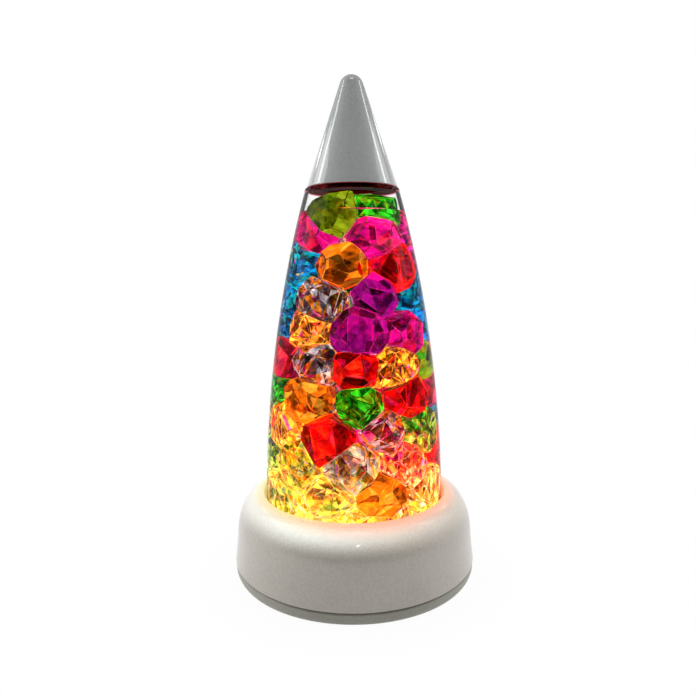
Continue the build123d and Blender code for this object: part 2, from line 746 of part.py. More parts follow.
def gem(index, seeds):
    """One faceted gem, cut from a block by its planes."""
    middle = seeds[index][0]
    half = GEM_REACH * 2
    solid = Solid.make_box(half * 2, half * 2, half * 2,
                           Plane((middle.X - half, middle.Y - half, middle.Z - half)))
    for point, way in gem_flats(index, seeds):
        if max((corner.center() - point).dot(way) for corner in solid.vertices()) > GEM_SLIVER:
            solid = solid.split(Plane(origin=point, z_dir=way), keep=Keep.BOTTOM)
    return solid


def gem_room(solid, middle):
    """The gem grown about its middle, so that liquid stands a film away from it."""
    share = GEM_FILM / GEM_DEPTH
    return Pos(*(middle * -share)) * scale(solid, by=1 + share)


def gems_by_colour(seeds, gems):
    """Gems gathered into one sub-part for each colour."""
    groups = {}
    for (_, _, colour), solid in zip(seeds, gems):
        groups.setdefault("gems_" + colour, []).append(solid)
    return {name: separate(solids) for name, solids in groups.items()}


def liquid(seeds, gems):
    """Filling of the bottle up to its level, with room left for every gem."""
    level_radius = side_radius(z_level, BOTTLE_WALL)
    filling = spun(
        Polyline((0, z_fill), (0, z_level), (level_radius, z_level)),
        *cavity_side(z_level),
    )
    return filling - [gem_room(solid, seed[0]) for seed, solid in zip(seeds, gems)]


def stopper_gasket():
    """Flat disc on the bottle's mouth."""
    return rod(neck_radius, z_mouth, z_gasket)


def stopper():
    """Fluted screw cap over the neck."""
    low = z_collar + STOPPER_LIFT
    cap = rod(stopper_radius, low, z_stopper) - rod(stopper_bore, low, z_gasket)
    for place in around(FLUTE_COUNT, stopper_radius + FLUTE_RADIUS / 2, 0):
        cap = cap - rod(FLUTE_RADIUS, low, z_stopper, place)
    return cap


def cone_cap():
    """Hollow cone with a rounded tip and a short bore that slips over the bottle's collar."""
    centre = z_tip - CAP_TIP
    rise = centre - z_shoulder
    lean = math.atan2(cap_radius, rise) - math.asin(CAP_TIP / math.hypot(cap_radius, rise))
    inner_tip = CAP_TIP - CAP_WALL
    z_bore = z_collar + FREE_GAP
    slant = cap_radius - (z_bore - z_shoulder) * math.tan(lean) - CAP_WALL / math.cos(lean)

    def tangent(radius):
        return (radius * math.cos(lean), centre + radius * math.sin(lean))

    def tip_middle(radius):
        turn = (lean + math.pi / 2) / 2
        return (radius * math.cos(turn), centre + radius * math.sin(turn))

    return spun(
        Line((cap_radius, z_shoulder), tangent(CAP_TIP)),
        ThreePointArc(tangent(CAP_TIP), tip_middle(CAP_TIP), (0, z_tip)),
        Line((0, z_tip), (0, centre + inner_tip)),
        ThreePointArc((0, centre + inner_tip), tip_middle(inner_tip), tangent(inner_tip)),
        Polyline(tangent(inner_tip), (slant, z_bore), (bore_radius, z_bore),
                 (bore_radius, z_shoulder), (cap_radius, z_shoulder)),
    )


def all_parts():
    """Every sub-part by its node name."""
    makers = (rubber_feet, bottom_plate, plate_screws, base_housing, switch_body, switch_slider,
              battery_tray, battery_cells, battery_contacts, battery_door, lead_red, lead_black, lead_white,
              led_board, board_screws, leds_yellow, leds_red, reflector, lens_disc, seat_ring,
              bottle, stopper_gasket, stopper, cone_cap)
    parts = {maker.__name__: maker() for maker in makers}
    seeds = gem_seeds()
    gems = [gem(index, seeds) for index in range(len(seeds))]
    parts.update(gems_by_colour(seeds, gems))
    parts["liquid"] = liquid(seeds, gems)
    return parts


os.makedirs("parts", exist_ok=True)
for name, shape in all_parts().items():
    export_step(shape, "parts/" + name + ".step")
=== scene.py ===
import math

import bmesh
import bpy
from mathutils import Matrix, Vector


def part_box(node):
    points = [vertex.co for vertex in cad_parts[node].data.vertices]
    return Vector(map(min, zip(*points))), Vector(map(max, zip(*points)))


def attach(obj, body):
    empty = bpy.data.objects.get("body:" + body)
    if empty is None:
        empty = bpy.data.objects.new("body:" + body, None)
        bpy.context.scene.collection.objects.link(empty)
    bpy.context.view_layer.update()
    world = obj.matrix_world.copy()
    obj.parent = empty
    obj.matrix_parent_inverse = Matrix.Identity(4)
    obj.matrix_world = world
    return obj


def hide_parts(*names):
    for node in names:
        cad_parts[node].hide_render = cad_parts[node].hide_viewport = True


bl_info = {
    "name": "Sensory Lamp",
    "version": (1, 0, 0),
    "blender": (4, 5, 0),
    "location": "View3D > Sidebar > Lamp",
    "description": "Dresses the solids of a gem-filled sensory lamp and sets up its studio",
    "category": "Object",
}

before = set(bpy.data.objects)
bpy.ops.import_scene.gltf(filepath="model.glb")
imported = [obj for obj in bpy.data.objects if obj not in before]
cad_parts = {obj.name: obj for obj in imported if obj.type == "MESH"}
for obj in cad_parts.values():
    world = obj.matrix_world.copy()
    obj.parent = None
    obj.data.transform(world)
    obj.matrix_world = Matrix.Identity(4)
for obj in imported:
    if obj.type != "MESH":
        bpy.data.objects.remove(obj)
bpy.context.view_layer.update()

BOXES = {node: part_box(node) for node in ("bottle", "liquid", "cone_cap", "base_housing")}

# Meshes: the angle of a sharp edge, the angle up to which facets are flat, and merging distances
SMOOTH_ANGLE = math.radians(32)
FLAT_ANGLE = math.radians(0.7)
MERGE_REACH = 1e-6
GEM_MERGE_REACH = 2e-6

# Shares of a corner's edges, of a facet, of a dent's way to a corner and of the liquid's climb; tip steps
CORNER_SHARE = 0.45
FACET_LEAST_SHARE = 0.4
PEAK_SHARE = 0.45
MENISCUS_SHARES = ((3.0, 0.0), (1.2, 0.25), (0.35, 0.7))
TIP_STEPS = 16

# Numbers that look random: steps of a place to the metre, weights of its three numbers, and their spread
SCATTER_STEPS = 1e5
SCATTER_WEIGHTS = (0.129898, 0.78233, 0.37719)
SCATTER_SPREAD = 43758.5453
OTHER_DRAW = 1.7
PLACE_DIGITS = 5

# Each gem colour, with its second and third colours, which are painted reflections of other gems, and the
# colour of its brightest facets, which is a painted highlight
GEM_PARTNERS = {
    "red": ("crimson", "red", "gold"),
    "crimson": ("red", "pink", "gold"),
    "pink": ("crimson", "purple", "rosy"),
    "purple": ("pink", "crimson", "pink"),
    "orange": ("gold", "red", "gold"),
    "yellow": ("orange", "lime", "gold"),
    "lime": ("lime", "green", "warm"),
    "green": ("lime", "green", "green"),
    "blue": ("teal", "blue", "teal"),
    "clear": ("orange", "pink", "gold"),
}

# Strength of a colour's painted glow where it isn't 1, colours without painted warm glints, and shares of
# calm gems
GEM_LIFT = {"clear": 0.45, "yellow": 0.6, "lime": 0.7, "green": 0.65, "blue": 1.05, "orange": 1.35,
            "pink": 1.15}
COOL_GEMS = ("blue", "green")
CALM_GEMS = {"red": 0.85, "crimson": 0.7, "purple": 0.6, "pink": 0.4, "lime": 0.5, "orange": 0.45}
FEW_CALM_GEMS = 0.1
GEM_NUMBERS = ("gem", "calm", "facet", "edge")

# Gem cells, streaks and waves to the metre, how far the waves bend the cells, the grain, and the width of the
# lines between cells that carry painted glints
BROAD_CELLS = 190.0
FINE_CELLS = 400.0
STREAKS = 480.0
WAVES = 110.0
WAVE_REACH = 0.004
GRAIN_AXIS = (0.4, 0.5, 0.77)
GRAIN_STRETCH = (1.0, 0.4, 0.75)
CREASE_WIDTH = (0.02, 0.07)

# Shares of a gem's cells that take another colour as a painted reflection of other gems, the stray hues,
# which are painted reflections too, and the nearly black cells, which are painted shade
SECOND_LEAST_SHARE = 0.12
SECOND_SHARE = 0.27
THIRD_SHARE = 0.16
STRAY_SHARE = 0.11
COOL_STRAY_SHARE = 0.02
# The nearly black cells are painted shade
DEEP_SHARE = 0.13
DEEPNESS = 0.88
FIRST_HUE = 0.84
HUE_SPAN = 0.32
STRAY_SATURATION = 0.97
STRAY_VALUE = 0.8

# Tone of a gem, its painted light and shade: the level of its glow, the swing of facets, cells and streaks
# about it, what the painted light at the foot adds, and its painted highlights, glints and edge lines
CALMING = 0.65
LIVELY = (0.4, 1.0)
TONE = 0.42
FACET_SWING = 1.3
CELL_SWING = 1.0
STREAK_SWING = 2.6
CALM_SWING = 0.8
FAINTEST = 0.05
DARKEST = 0.06
BODY_TONES = (0.1, 0.9)
BODY_SHARE = 0.8
SHINE_TONES = (0.65, 1.5)
SHINE_SHARE = 0.8
FOOT_HEIGHT = 0.042
FADE_HEIGHT = 0.082
FOOT_LIVELY = (0.3, 1.0)
FOOT_SHARE = 0.9
FOOT_SWING = 0.03
FOOT_TONE = 0.3
FOOT_DARKEST = 0.25
PALE_SHARE = 0.5
SPARK_STREAKS = (0.66, 0.72)
SPARK = 0.32
SPARK_FOOT = 0.35
CREASED_SHARE = 0.4
CREASE_LIGHT = 0.4
EDGE_GLINT = 0.05
EDGE_GLINT_FOOT = 0.4
FINE_RELIEF = 0.6

# Painted light at the foot, standing in for the light from below: shares of its patches, and where the left
# hand side gives way to the right
LEFT_PALE_SHARE = 0.26
LEFT_ROSY_SHARE = 0.4
RIGHT_PALE_SHARE = 0.16
OWN_SHARE = 0.2
FOOT_MIDDLE = (-0.008, 0.03)
PATCH_SWING = 0.02

# Painted light on the lip of the base, standing in for the light from the bottle's foot: where it turns rosy,
# how it falls off towards the back, and the speckle that stands in for gritty highlights
LIP_ROSY = (-0.03, 0.045)
NEAR_GLOW_ROSY = (-0.045, 0.004)
LIP_FRONT = (-0.056, -0.036, 1.6, 0.9)
LIP_BACK = (-0.036, 0.01, 1.0, 0.5)
FRONT_STRETCH = 0.965
GLOW_SPECKLE = 1100.0
GLOW_SPECKLE_SPAN = (0.35, 0.65, 0.87, 1.13)

# Moulded plastic, rubber and clear plastic
CLOUDS = 28.0
CLOUD_SHADE = (0.94, 0.94, 0.94)
SKIN_SHADE = (0.9, 0.9, 0.9)
SKIN_DEPTH = 0.0002
MIDTONES = (0.3, 0.7)
RUBBER = {"spread": 0.2, "grain": 1400.0}
CLEAR = (0.985, 0.99, 0.99)
WAVINESS = 45.0
# Heights of the painted red reflection in the top of the bottle
STOPPER_DROP = 0.001
STOPPER_FADE = 0.0008

# Studio: each soft box with its setting, its share of that power, its place, width and height
SOFT_BOXES = {
    "top_box": ("top", 1.0, (0.02, -0.22, 0.95), 0.25, 0.25),
    "front_spark": ("spark", 1.0, (0.05, -0.77, 0.56), 0.04, 0.04),
    "left_strip": ("strips", 1.0, (-0.582, 0.092, 0.63), 0.08, 0.3),
    "right_strip": ("strips", 1.0, (0.582, 0.092, 0.63), 0.08, 0.3),
    "left_box": ("sides", 1.0, (-0.75, 0.12, 0.50), 0.5, 0.4),
    "right_box": ("sides", 0.7, (0.75, 0.12, 0.50), 0.5, 0.4),
    "left_window": ("windows", 1.0, (-0.67, 0.62, 0.61), 0.2, 0.055),
    "right_window": ("windows", 1.0, (0.57, 0.72, 0.62), 0.25, 0.055),
}

# Studio: the point that the boxes aim at, bounces of light, floor, sky and camera
BOX_AIM = Vector((0, 0, 0.15))
BOUNCES = 28
FLOOR_HALF = 3.0
FLOOR_TONE = (0.86, 0.86, 0.86)
FLOOR_SHADOW = (0.06, 0.10, 0.965, 1.0)
SKY_DEPTH = (-0.65, 0.03)
SKY_WIDTH = (-0.5, 0.8)
SKY_LEFT = 1.05
SKY_EDGE = (0.27, 0.42)
SKY_TOP = (0.35, 0.85)
SENSOR_WIDTH = 36.0
NEAREST = 0.01

WHITE = (1.0, 1.0, 1.0)
MIDDLE = (0.5, 0.5, 0.5)
BLACK = (0.0, 0.0, 0.0)


def height_of(node, end):
    """Lowest (0) or highest (1) point of a CAD node."""
    return BOXES[node][end][2]


def reach_of(node):
    """How far a CAD node reaches along X."""
    return BOXES[node][1][0]


def length(name, description, default):
    """A size in metres."""
    return bpy.props.FloatProperty(name=name, description=description, default=default, unit="LENGTH",
                                   precision=4)


def share(name, description, default):
    """A plain number, such as a roughness or a strength."""
    return bpy.props.FloatProperty(name=name, description=description, default=default, precision=3)


def tint(name, description, default):
    """A colour."""
    return bpy.props.FloatVectorProperty(name=name, description=description, default=default, size=3,
                                         subtype="COLOR", min=0, max=1)


class LampSizes(bpy.types.PropertyGroup):
    """Sizes of the lamp's turned pieces and of its gems' edges."""
    bottle_bulge: length("Bottle bulge", "How far the side swells past a straight taper", 0.0056)
    bottle_wall: length("Bottle wall", "Thickness of the bottle's wall", 0.0022)
    bottle_floor: length("Bottle floor", "Thickness of the bottle's floor", 0.003)
    bottle_foot_round: length("Bottle foot round", "Outer round of the foot", 0.003)
    bottle_corner_round: length("Bottle corner round", "Inner round at the floor", 0.004)
    bottle_top_radius: length("Bottle top radius", "Radius at the lip", 0.0242)
    bottle_shoulder_round: length("Bottle shoulder round", "Round under the cap", 0.0014)
    punt_depth: length("Punt depth", "Hollow under the bottle", 0.001)
    punt_radius: length("Punt radius", "Radius of the hollow under the bottle", 0.0395)
    collar_height: length("Collar height", "Step that centres the cap", 0.0016)
    neck_radius: length("Neck radius", "Outside of the neck", 0.0139)
    neck_wall: length("Neck wall", "Wall of the neck", 0.0016)
    neck_height: length("Neck height", "Neck above the collar", 0.005)
    cap_wall: length("Cap wall", "Wall of the cone", 0.0018)
    cap_tip: length("Cap tip", "Round of the cone's tip", 0.0062)
    liquid_bite: length("Liquid bite", "How far the liquid reaches into the wall", 0.0002)
    meniscus: length("Meniscus", "Climb of the liquid at the wall", 0.0009)
    gem_edge: length("Gem edge", "Width of a gem's polished edge", 0.0003)
    gem_dent: length("Gem dent", "Deepest dent in a crumpled facet", 0.0015)
    smallest_dent: length("Smallest dent", "Side of the smallest facet that is dented", 0.006)
    seam_top: length("Seam top", "Top of the seam between the housing and the plate", 0.0065)
    seam_lift: length("Seam lift", "How far the seam is lifted", 0.0008)
    rim_depth: length("Rim depth", "How far in the rim's faces reach", 0.004)
    rim_spread: length("Rim spread", "How far the plate's rim is filled out at its foot", 0.0016)
    rim_setback: length("Rim setback", "Setback of the rim from the housing", 0.0003)
    edge_round: length("Edge round", "Small round on moulded edges", 0.0005)
    turned_segments: bpy.props.IntProperty(name="Turned segments", description="Steps round a turned piece",
                                           default=160, min=24, max=512)


class LampColours(bpy.types.PropertyGroup):
    """Colours of the lamp's plastics and gems."""
    base: tint("Base", "Base housing", (0.71, 0.66, 0.585))
    plate: tint("Plate", "Bottom plate and door", (0.50, 0.49, 0.42))
    cap: tint("Cap", "Cone cap", (0.61, 0.645, 0.635))
    # Colours of the painted light at the foot and of its painted glints
    warm: tint("Warm glow", "Light on the left of the foot", (0.70, 0.86, 0.09))
    pale: tint("Pale glow", "Glints of the light at the foot", (1.0, 0.88, 0.42))
    rosy: tint("Rosy glow", "Light on the right of the foot", (1.0, 0.22, 0.02))
    # Colour of the painted highlights on the warm gems
    gold: tint("Gold", "Brightest facets of the warm gems", (0.95, 0.38, 0.03))
    red: tint("Red", "Red gems", (0.92, 0.003, 0.003))
    crimson: tint("Crimson", "Crimson gems", (0.75, 0.004, 0.06))
    pink: tint("Pink", "Pink gems", (0.82, 0.004, 0.25))
    purple: tint("Purple", "Purple gems", (0.34, 0.003, 0.21))
    orange: tint("Orange", "Orange gems", (1.0, 0.19, 0.004))
    yellow: tint("Yellow", "Yellow gems", (1.0, 0.72, 0.02))
    lime: tint("Lime", "Yellow-green gems", (0.25, 0.38, 0.005))
    green: tint("Green", "Green gems", (0.02, 0.58, 0.012))
    blue: tint("Blue", "Blue gems", (0.0, 0.13, 0.46))
    # The second colour of the blue gems is a painted reflection of other gems
    teal: tint("Teal", "Second colour of the blue gems", (0.0, 0.26, 0.27))
    clear: tint("Clear", "Clear gems", (0.80, 0.72, 0.80))
    # The stopper's colour is a painted reflection of the gems' red light under the cap
    stopper: tint("Stopper", "Tint of the stopper in the top of the bottle", (0.5, 0.03, 0.05))


class LampView(bpy.types.PropertyGroup):
    """Camera and studio."""
    distance: length("Distance", "Camera in front of the lamp's axis", 0.3116)
    height: length("Height", "Camera above the floor", 0.1583)
    pitch: bpy.props.FloatProperty(name="Pitch", description="Camera tilt down", subtype="ANGLE",
                                   default=math.radians(7.34))
    roll: bpy.props.FloatProperty(name="Roll", description="Camera roll", subtype="ANGLE",
                                  default=math.radians(-0.385))
    lens: share("Lens", "Focal length in millimetres", 30.79)
    shift: share("Shift", "Sideways shift of the frame", -0.00735)
    sky: share("Sky", "Strength of the light from the white backdrop", 1.0)
    right: share("Right", "Share of the backdrop's light on the right", 0.8)
    edge: share("Edge", "Share of the backdrop that polished plastic mirrors above the lamp", 0.4)
    ceiling: share("Ceiling", "Strength of the light from above", 0.12)
    top: share("Top", "Power of the soft box overhead", 0.5)
    front: share("Front", "Strength of the light from the camera's side", 0.0)
    dimming: share("Dimming", "How dim the room is to rays that clear surfaces throw back", 0.93)
    spark: share("Spark", "Power of the small lamp in front", 0.2)
    strips: share("Strips", "Power of each upright strip at the sides", 0.25)
    sides: share("Sides", "Power of the wide soft box on the left; the right one is weaker", 0.9)
    windows: share("Windows", "Power of each soft window behind", 0.11)
    # Strength of the painted light on the base round the bottle's foot
    lip_glow: share("Lip glow", "Light on the base round the bottle's foot", 1.0)
    # Strength of the gems' painted glow, which stands in for the light they carry up from the base
    gem_glow: share("Gem glow", "Light that the gems carry up from the base", 1.0)


def lamp():
    """The settings that every operator reads."""
    return bpy.context.scene.sensory_lamp


class LampSettings(bpy.types.PropertyGroup):
    """All settings of the lamp."""
    sizes: bpy.props.PointerProperty(type=LampSizes)
    colours: bpy.props.PointerProperty(type=LampColours)
    view: bpy.props.PointerProperty(type=LampView)


# Outlines, as radius and height


def arc(centre, radius, start, end, steps=8):
    """Points on an arc, from one angle to another in degrees."""
    points = []
    for k in range(steps + 1):
        turn = math.radians(start + (end - start) * k / steps)
        points.append((centre[0] + radius * math.cos(turn), centre[1] + radius * math.sin(turn)))
    return points


def rounded(corners, radius, steps=4):
    """An open outline with each inner corner rounded."""
    points = [corners[0]]
    for before, corner, after in zip(corners, corners[1:], corners[2:]):
        here = Vector(corner)
        back = Vector(before) - here
        ahead = Vector(after) - here
        cut = min(radius, back.length * CORNER_SHARE, ahead.length * CORNER_SHARE)
        start = here + back.normalized() * cut
        end = here + ahead.normalized() * cut
        for k in range(steps + 1):
            t = k / steps
            points.append(tuple(start.lerp(here, t).lerp(here.lerp(end, t), t)))
    points.append(corners[-1])
    return points


def side_circle(inset):
    """Centre and radius of the arc up the bottle's side, moved inward."""
    sizes = lamp().sizes
    low = height_of("bottle", 0)
    high = height_of("cone_cap", 0) - sizes.bottle_shoulder_round
    half = (high - low) / 2
    foot = reach_of("bottle") - inset
    top = sizes.bottle_top_radius - inset
    swell = (foot + top) / 2 + sizes.bottle_bulge
    chord = Vector((top - foot, high - low))
    across = Vector((chord.y, -chord.x)).normalized()
    middle = Vector(((foot + top) / 2, low + half))
    third = Vector((swell, low + half))
    offset = third - middle
    reach = (offset.length_squared - chord.length_squared / 4) / (2 * offset.dot(across))
    centre = middle + across * reach
    return centre, (Vector((foot, low)) - centre).length


def side_radius(height, inset):
    """Radius of the bottle's side at a height."""
    centre, radius = side_circle(inset)
    return centre.x + math.sqrt(radius ** 2 - (height - centre.y) ** 2)


def side(inset, low, high, steps=48):
    """Points up the bottle's side."""
    heights = [low + (high - low) * k / steps for k in range(steps + 1)]
    return [(side_radius(z, inset), z) for z in heights]


def bottle_outline():
    """Outside of the bottle from its punt to its mouth, and back down the inside."""
    sizes = lamp().sizes
    low = height_of("bottle", 0)
    shoulder = height_of("cone_cap", 0)
    lip = shoulder - sizes.bottle_shoulder_round
    collar = shoulder + sizes.collar_height
    mouth = collar + sizes.neck_height
    foot_round = sizes.bottle_foot_round
    foot_radius = side_radius(low + foot_round, 0)
    cap_bore = reach_of("cone_cap") - sizes.cap_wall - sizes.edge_round
    neck_inner = sizes.neck_radius - sizes.neck_wall
    ceiling = shoulder - sizes.bottle_wall
    outside = [(0, low + sizes.punt_depth), (sizes.punt_radius - sizes.punt_depth, low + sizes.punt_depth),
               (sizes.punt_radius, low)]
    outside += arc((foot_radius - foot_round, low + foot_round), foot_round, -90, 0)
    outside += side(0, low + foot_round, lip)[1:]
    top_round = sizes.bottle_shoulder_round
    outside += arc((sizes.bottle_top_radius - top_round, lip), top_round, 0, 90)[1:]
    neck = rounded([(sizes.bottle_top_radius - top_round, shoulder), (cap_bore, shoulder), (cap_bore, collar),
                    (sizes.neck_radius, collar), (sizes.neck_radius, mouth), (neck_inner, mouth),
                    (neck_inner, ceiling), (side_radius(ceiling, sizes.bottle_wall), ceiling),
                    (side_radius(ceiling - sizes.bottle_wall, sizes.bottle_wall),
                     ceiling - sizes.bottle_wall)], sizes.edge_round)
    return outside + neck[1:] + cavity(sizes.bottle_wall, 0, ceiling - sizes.bottle_wall)[1:]


def cavity(inset, drop, top):
    """Inside of the bottle from a height down to the middle of its floor."""
    sizes = lamp().sizes
    floor = height_of("bottle", 0) + sizes.bottle_floor - drop
    corner = sizes.bottle_corner_round
    corner_radius = side_radius(floor + corner, inset)
    down = list(reversed(side(inset, floor + corner, top)))
    return down + arc((corner_radius - corner, floor + corner), corner, 0, -90)[1:] + [(0, floor)]


def liquid_outline():
    """The filling: a level top that climbs a little at the wall, then down the wall to the floor."""
    sizes = lamp().sizes
    level = height_of("liquid", 1)
    inset = sizes.bottle_wall - sizes.liquid_bite
    climb = sizes.meniscus
    wall = side_radius(level + climb, inset)
    top = [(wall - climb * inward, level + climb * up) for inward, up in MENISCUS_SHARES]
    return [(0, level)] + top + cavity(inset, sizes.liquid_bite, level + climb)


def cap_outline():
    """Inside of the cone from its tip down to its edge, and back up the outside."""
    sizes = lamp().sizes
    low = height_of("cone_cap", 0)
    tip = height_of("cone_cap", 1)
    radius = reach_of("cone_cap")
    centre = tip - sizes.cap_tip
    rise = centre - low
    lean = math.degrees(math.atan2(radius, rise) - math.asin(sizes.cap_tip / math.hypot(radius, rise)))
    inner_tip = sizes.cap_tip - sizes.cap_wall
    bore = radius - sizes.cap_wall
    step = low + sizes.collar_height + sizes.edge_round
    slant = radius - (step - low) * math.tan(math.radians(lean)) - sizes.cap_wall
    outside = arc((0, centre), sizes.cap_tip, lean, 90, TIP_STEPS)
    inside = arc((0, centre), inner_tip, 90, lean)
    edge = rounded([inside[-1], (slant, step), (bore, step), (bore, low), (radius, low), outside[0]],
                   sizes.edge_round)
    return inside + edge[1:-1] + outside


# Meshes


def turned_tree():
    """Geometry Nodes tree that turns an outline about the upright axis."""
    tree = bpy.data.node_groups.get("turned_piece")
    if tree:
        return tree
    tree = bpy.data.node_groups.new("turned_piece", "GeometryNodeTree")
    for socket, kind in (("Outline", "Geometry"), ("Segments", "Int"), ("Spindle", "Float"),
                         ("Finish", "Material")):
        tree.interface.new_socket(socket, in_out="INPUT", socket_type="NodeSocket" + kind)
    tree.interface.new_socket("Turned", in_out="OUTPUT", socket_type="NodeSocketGeometry")
    node = {kind: tree.nodes.new(kind) for kind in (
        "NodeGroupInput", "GeometryNodeMeshToCurve", "GeometryNodeCurvePrimitiveCircle",
        "GeometryNodeCurveToMesh", "GeometryNodeMergeByDistance", "GeometryNodeSetShadeSmooth",
        "GeometryNodeRealizeInstances", "GeometryNodeSetMaterial", "NodeGroupOutput")}
    start = node["NodeGroupInput"].outputs
    circle = node["GeometryNodeCurvePrimitiveCircle"]
    sweep = node["GeometryNodeCurveToMesh"]
    node["GeometryNodeMergeByDistance"].inputs["Distance"].default_value = MERGE_REACH
    link = tree.links.new
    link(start["Outline"], node["GeometryNodeMeshToCurve"].inputs["Mesh"])
    link(start["Segments"], circle.inputs["Resolution"])
    link(start["Spindle"], circle.inputs["Radius"])
    link(circle.outputs["Curve"], sweep.inputs["Curve"])
    link(node["GeometryNodeMeshToCurve"].outputs["Curve"], sweep.inputs["Profile Curve"])
    link(sweep.outputs["Mesh"], node["GeometryNodeMergeByDistance"].inputs["Geometry"])
    chain = ["GeometryNodeMergeByDistance", "GeometryNodeSetShadeSmooth", "GeometryNodeRealizeInstances",
             "GeometryNodeSetMaterial", "NodeGroupOutput"]
    for first, second in zip(chain, chain[1:]):
        link(node[first].outputs[0], node[second].inputs[0])
    link(start["Finish"], node["GeometryNodeSetMaterial"].inputs["Material"])
    return tree


def new_object(name, mesh):
    """Object in the scene's own collection."""
    obj = bpy.data.objects.new(name, mesh)
    bpy.context.scene.collection.objects.link(obj)
    return obj


def turned(name, outline, material):
    """A piece turned from an outline of radius and height."""
    spindle = lamp().sizes.edge_round
    mesh = bpy.data.meshes.new(name)
    edges = [(k, k + 1) for k in range(len(outline) - 1)]
    mesh.from_pydata([(r - spindle, -z, 0) for r, z in outline], edges, [])
    obj = new_object(name, mesh)
    tree = turned_tree()
    modifier = obj.modifiers.new("turned", "NODES")
    modifier.node_group = tree
    sockets = {item.name: item.identifier for item in tree.interface.items_tree if item.in_out == "INPUT"}
    modifier[sockets["Segments"]] = lamp().sizes.turned_segments
    modifier[sockets["Spindle"]] = spindle
    modifier[sockets["Finish"]] = material
    plain(obj)
    smooth(obj.data, outward=True)
    return obj


def plain(obj):
    """Replaces an object's mesh by its evaluated result and drops its modifiers."""
    bpy.context.view_layer.update()
    result = bpy.data.meshes.new_from_object(obj.evaluated_get(bpy.context.evaluated_depsgraph_get()))
    old = obj.data
    obj.modifiers.clear()
    obj.data = result
    bpy.data.meshes.remove(old)


def smooth(mesh, outward):
    """Merges doubles, turns faces outward if asked, and marks the sharp edges of a smooth mesh."""
    work = bmesh.new()
    work.from_mesh(mesh)
    bmesh.ops.remove_doubles(work, verts=work.verts, dist=MERGE_REACH)
    if outward:
        bmesh.ops.recalc_face_normals(work, faces=work.faces)
        if work.calc_volume(signed=True) < 0:
            bmesh.ops.reverse_faces(work, faces=work.faces)
    for face in work.faces:
        face.smooth = True
        face.material_index = 0
    work.to_mesh(mesh)
    work.free()
    mesh.set_sharp_from_angle(angle=SMOOTH_ANGLE)


def copied(name, node, material):
    """A smooth copy of a CAD node's mesh."""
    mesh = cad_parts[node].data.copy()
    mesh.name = name
    smooth(mesh, outward=False)
    mesh.materials.clear()
    mesh.materials.append(material)
    return new_object(name, mesh)


def opened_seam(obj):
    """Lifts the seam between the housing and the plate, and fills out the plate's rim under it."""
    sizes = lamp().sizes
    for vert in obj.data.vertices:
        reach = Vector((vert.co.x, vert.co.y, 0)).length
        if reach < reach_of("base_housing") - sizes.rim_depth or vert.co.z > sizes.seam_top:
            continue
        rise = vert.co.z / sizes.seam_top
        limit = reach_of("base_housing") - sizes.rim_setback
        full = max(reach, min(limit, reach + sizes.rim_spread * (1 - rise) + sizes.rim_setback))
        vert.co.x *= full / reach
        vert.co.y *= full / reach
        vert.co.z += sizes.seam_lift * rise ** 2
    return obj


def place(obj, body, node):
    """Rides a body in place of a CAD node."""
    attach(obj, body)
    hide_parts(node)


def scatter(point):
    """A steady number from 0 to 1 that looks random, out of a place to a hundredth of a millimetre."""
    x, y, z = (round(value * SCATTER_STEPS) * weight for value, weight in zip(point, SCATTER_WEIGHTS))
    return math.sin(x + y + z) * SCATTER_SPREAD % 1


def islands(work):
    """Groups of connected faces, in the order of their first faces."""
    met = set()
    groups = []
    for first in work.faces:
        if first in met:
            continue
        met.add(first)
        group = [first]
        for face in group:
            near = [other for edge in face.edges for other in edge.link_faces if other not in met]
            group += dict.fromkeys(near)
            met.update(near)
        groups.append(group)
    return groups


def cut_gem(work, layers, group, calm_share):
    """One gem: facets drawn in from their edges, the edges chamfered, the larger facets dented."""
    sizes = lamp().sizes
    number = scatter(sum((face.calc_center_median() for face in group), Vector()) / len(group))
    verts = []
    normals = []
    for face in group:
        middle = face.calc_center_median_weighted()
        room = 2 * face.calc_area() / face.calc_perimeter()
        keep = max(FACET_LEAST_SHARE, 1 - sizes.gem_edge / room)
        verts += [work.verts.new(middle + (corner.co - middle) * keep) for corner in face.verts]
        normals.append(face.normal.copy())
    hull = bmesh.ops.convex_hull(work, input=verts)
    bmesh.ops.delete(work, geom=list({part for part in hull["geom_interior"] + hull["geom_unused"]
                                      if isinstance(part, bmesh.types.BMVert)}), context="VERTS")
    verts = [vert for vert in verts if vert.is_valid]
    bmesh.ops.dissolve_limit(work, angle_limit=FLAT_ANGLE, verts=verts,
                             edges=list(dict.fromkeys(edge for vert in verts for edge in vert.link_edges)))
    faces = list(dict.fromkeys(face for vert in verts if vert.is_valid for face in vert.link_faces))
    bmesh.ops.recalc_face_normals(work, faces=faces)
    calm = 1.0 if number < calm_share else 0.0
    flats = []
    for face in faces:
        on_facet = max(face.normal.dot(normal) for normal in normals) > math.cos(FLAT_ANGLE)
        mark_facet(face, layers, {"gem": number, "calm": calm, "edge": 0.0 if on_facet else 1.0})
        if on_facet:
            flats.append(face)
    if not calm:
        for face in sorted(flats, key=lambda flat: flat.calc_center_median().to_tuple(PLACE_DIGITS)):
            dent(work, layers, face)


def mark_facet(face, layers, numbers):
    """Writes a facet's numbers: its gem's, whether that is calm, its own, and whether it is an edge."""
    for key, number in numbers.items():
        face[layers[key]] = number
    face[layers["facet"]] = scatter(face.calc_center_median())
    face.smooth = False


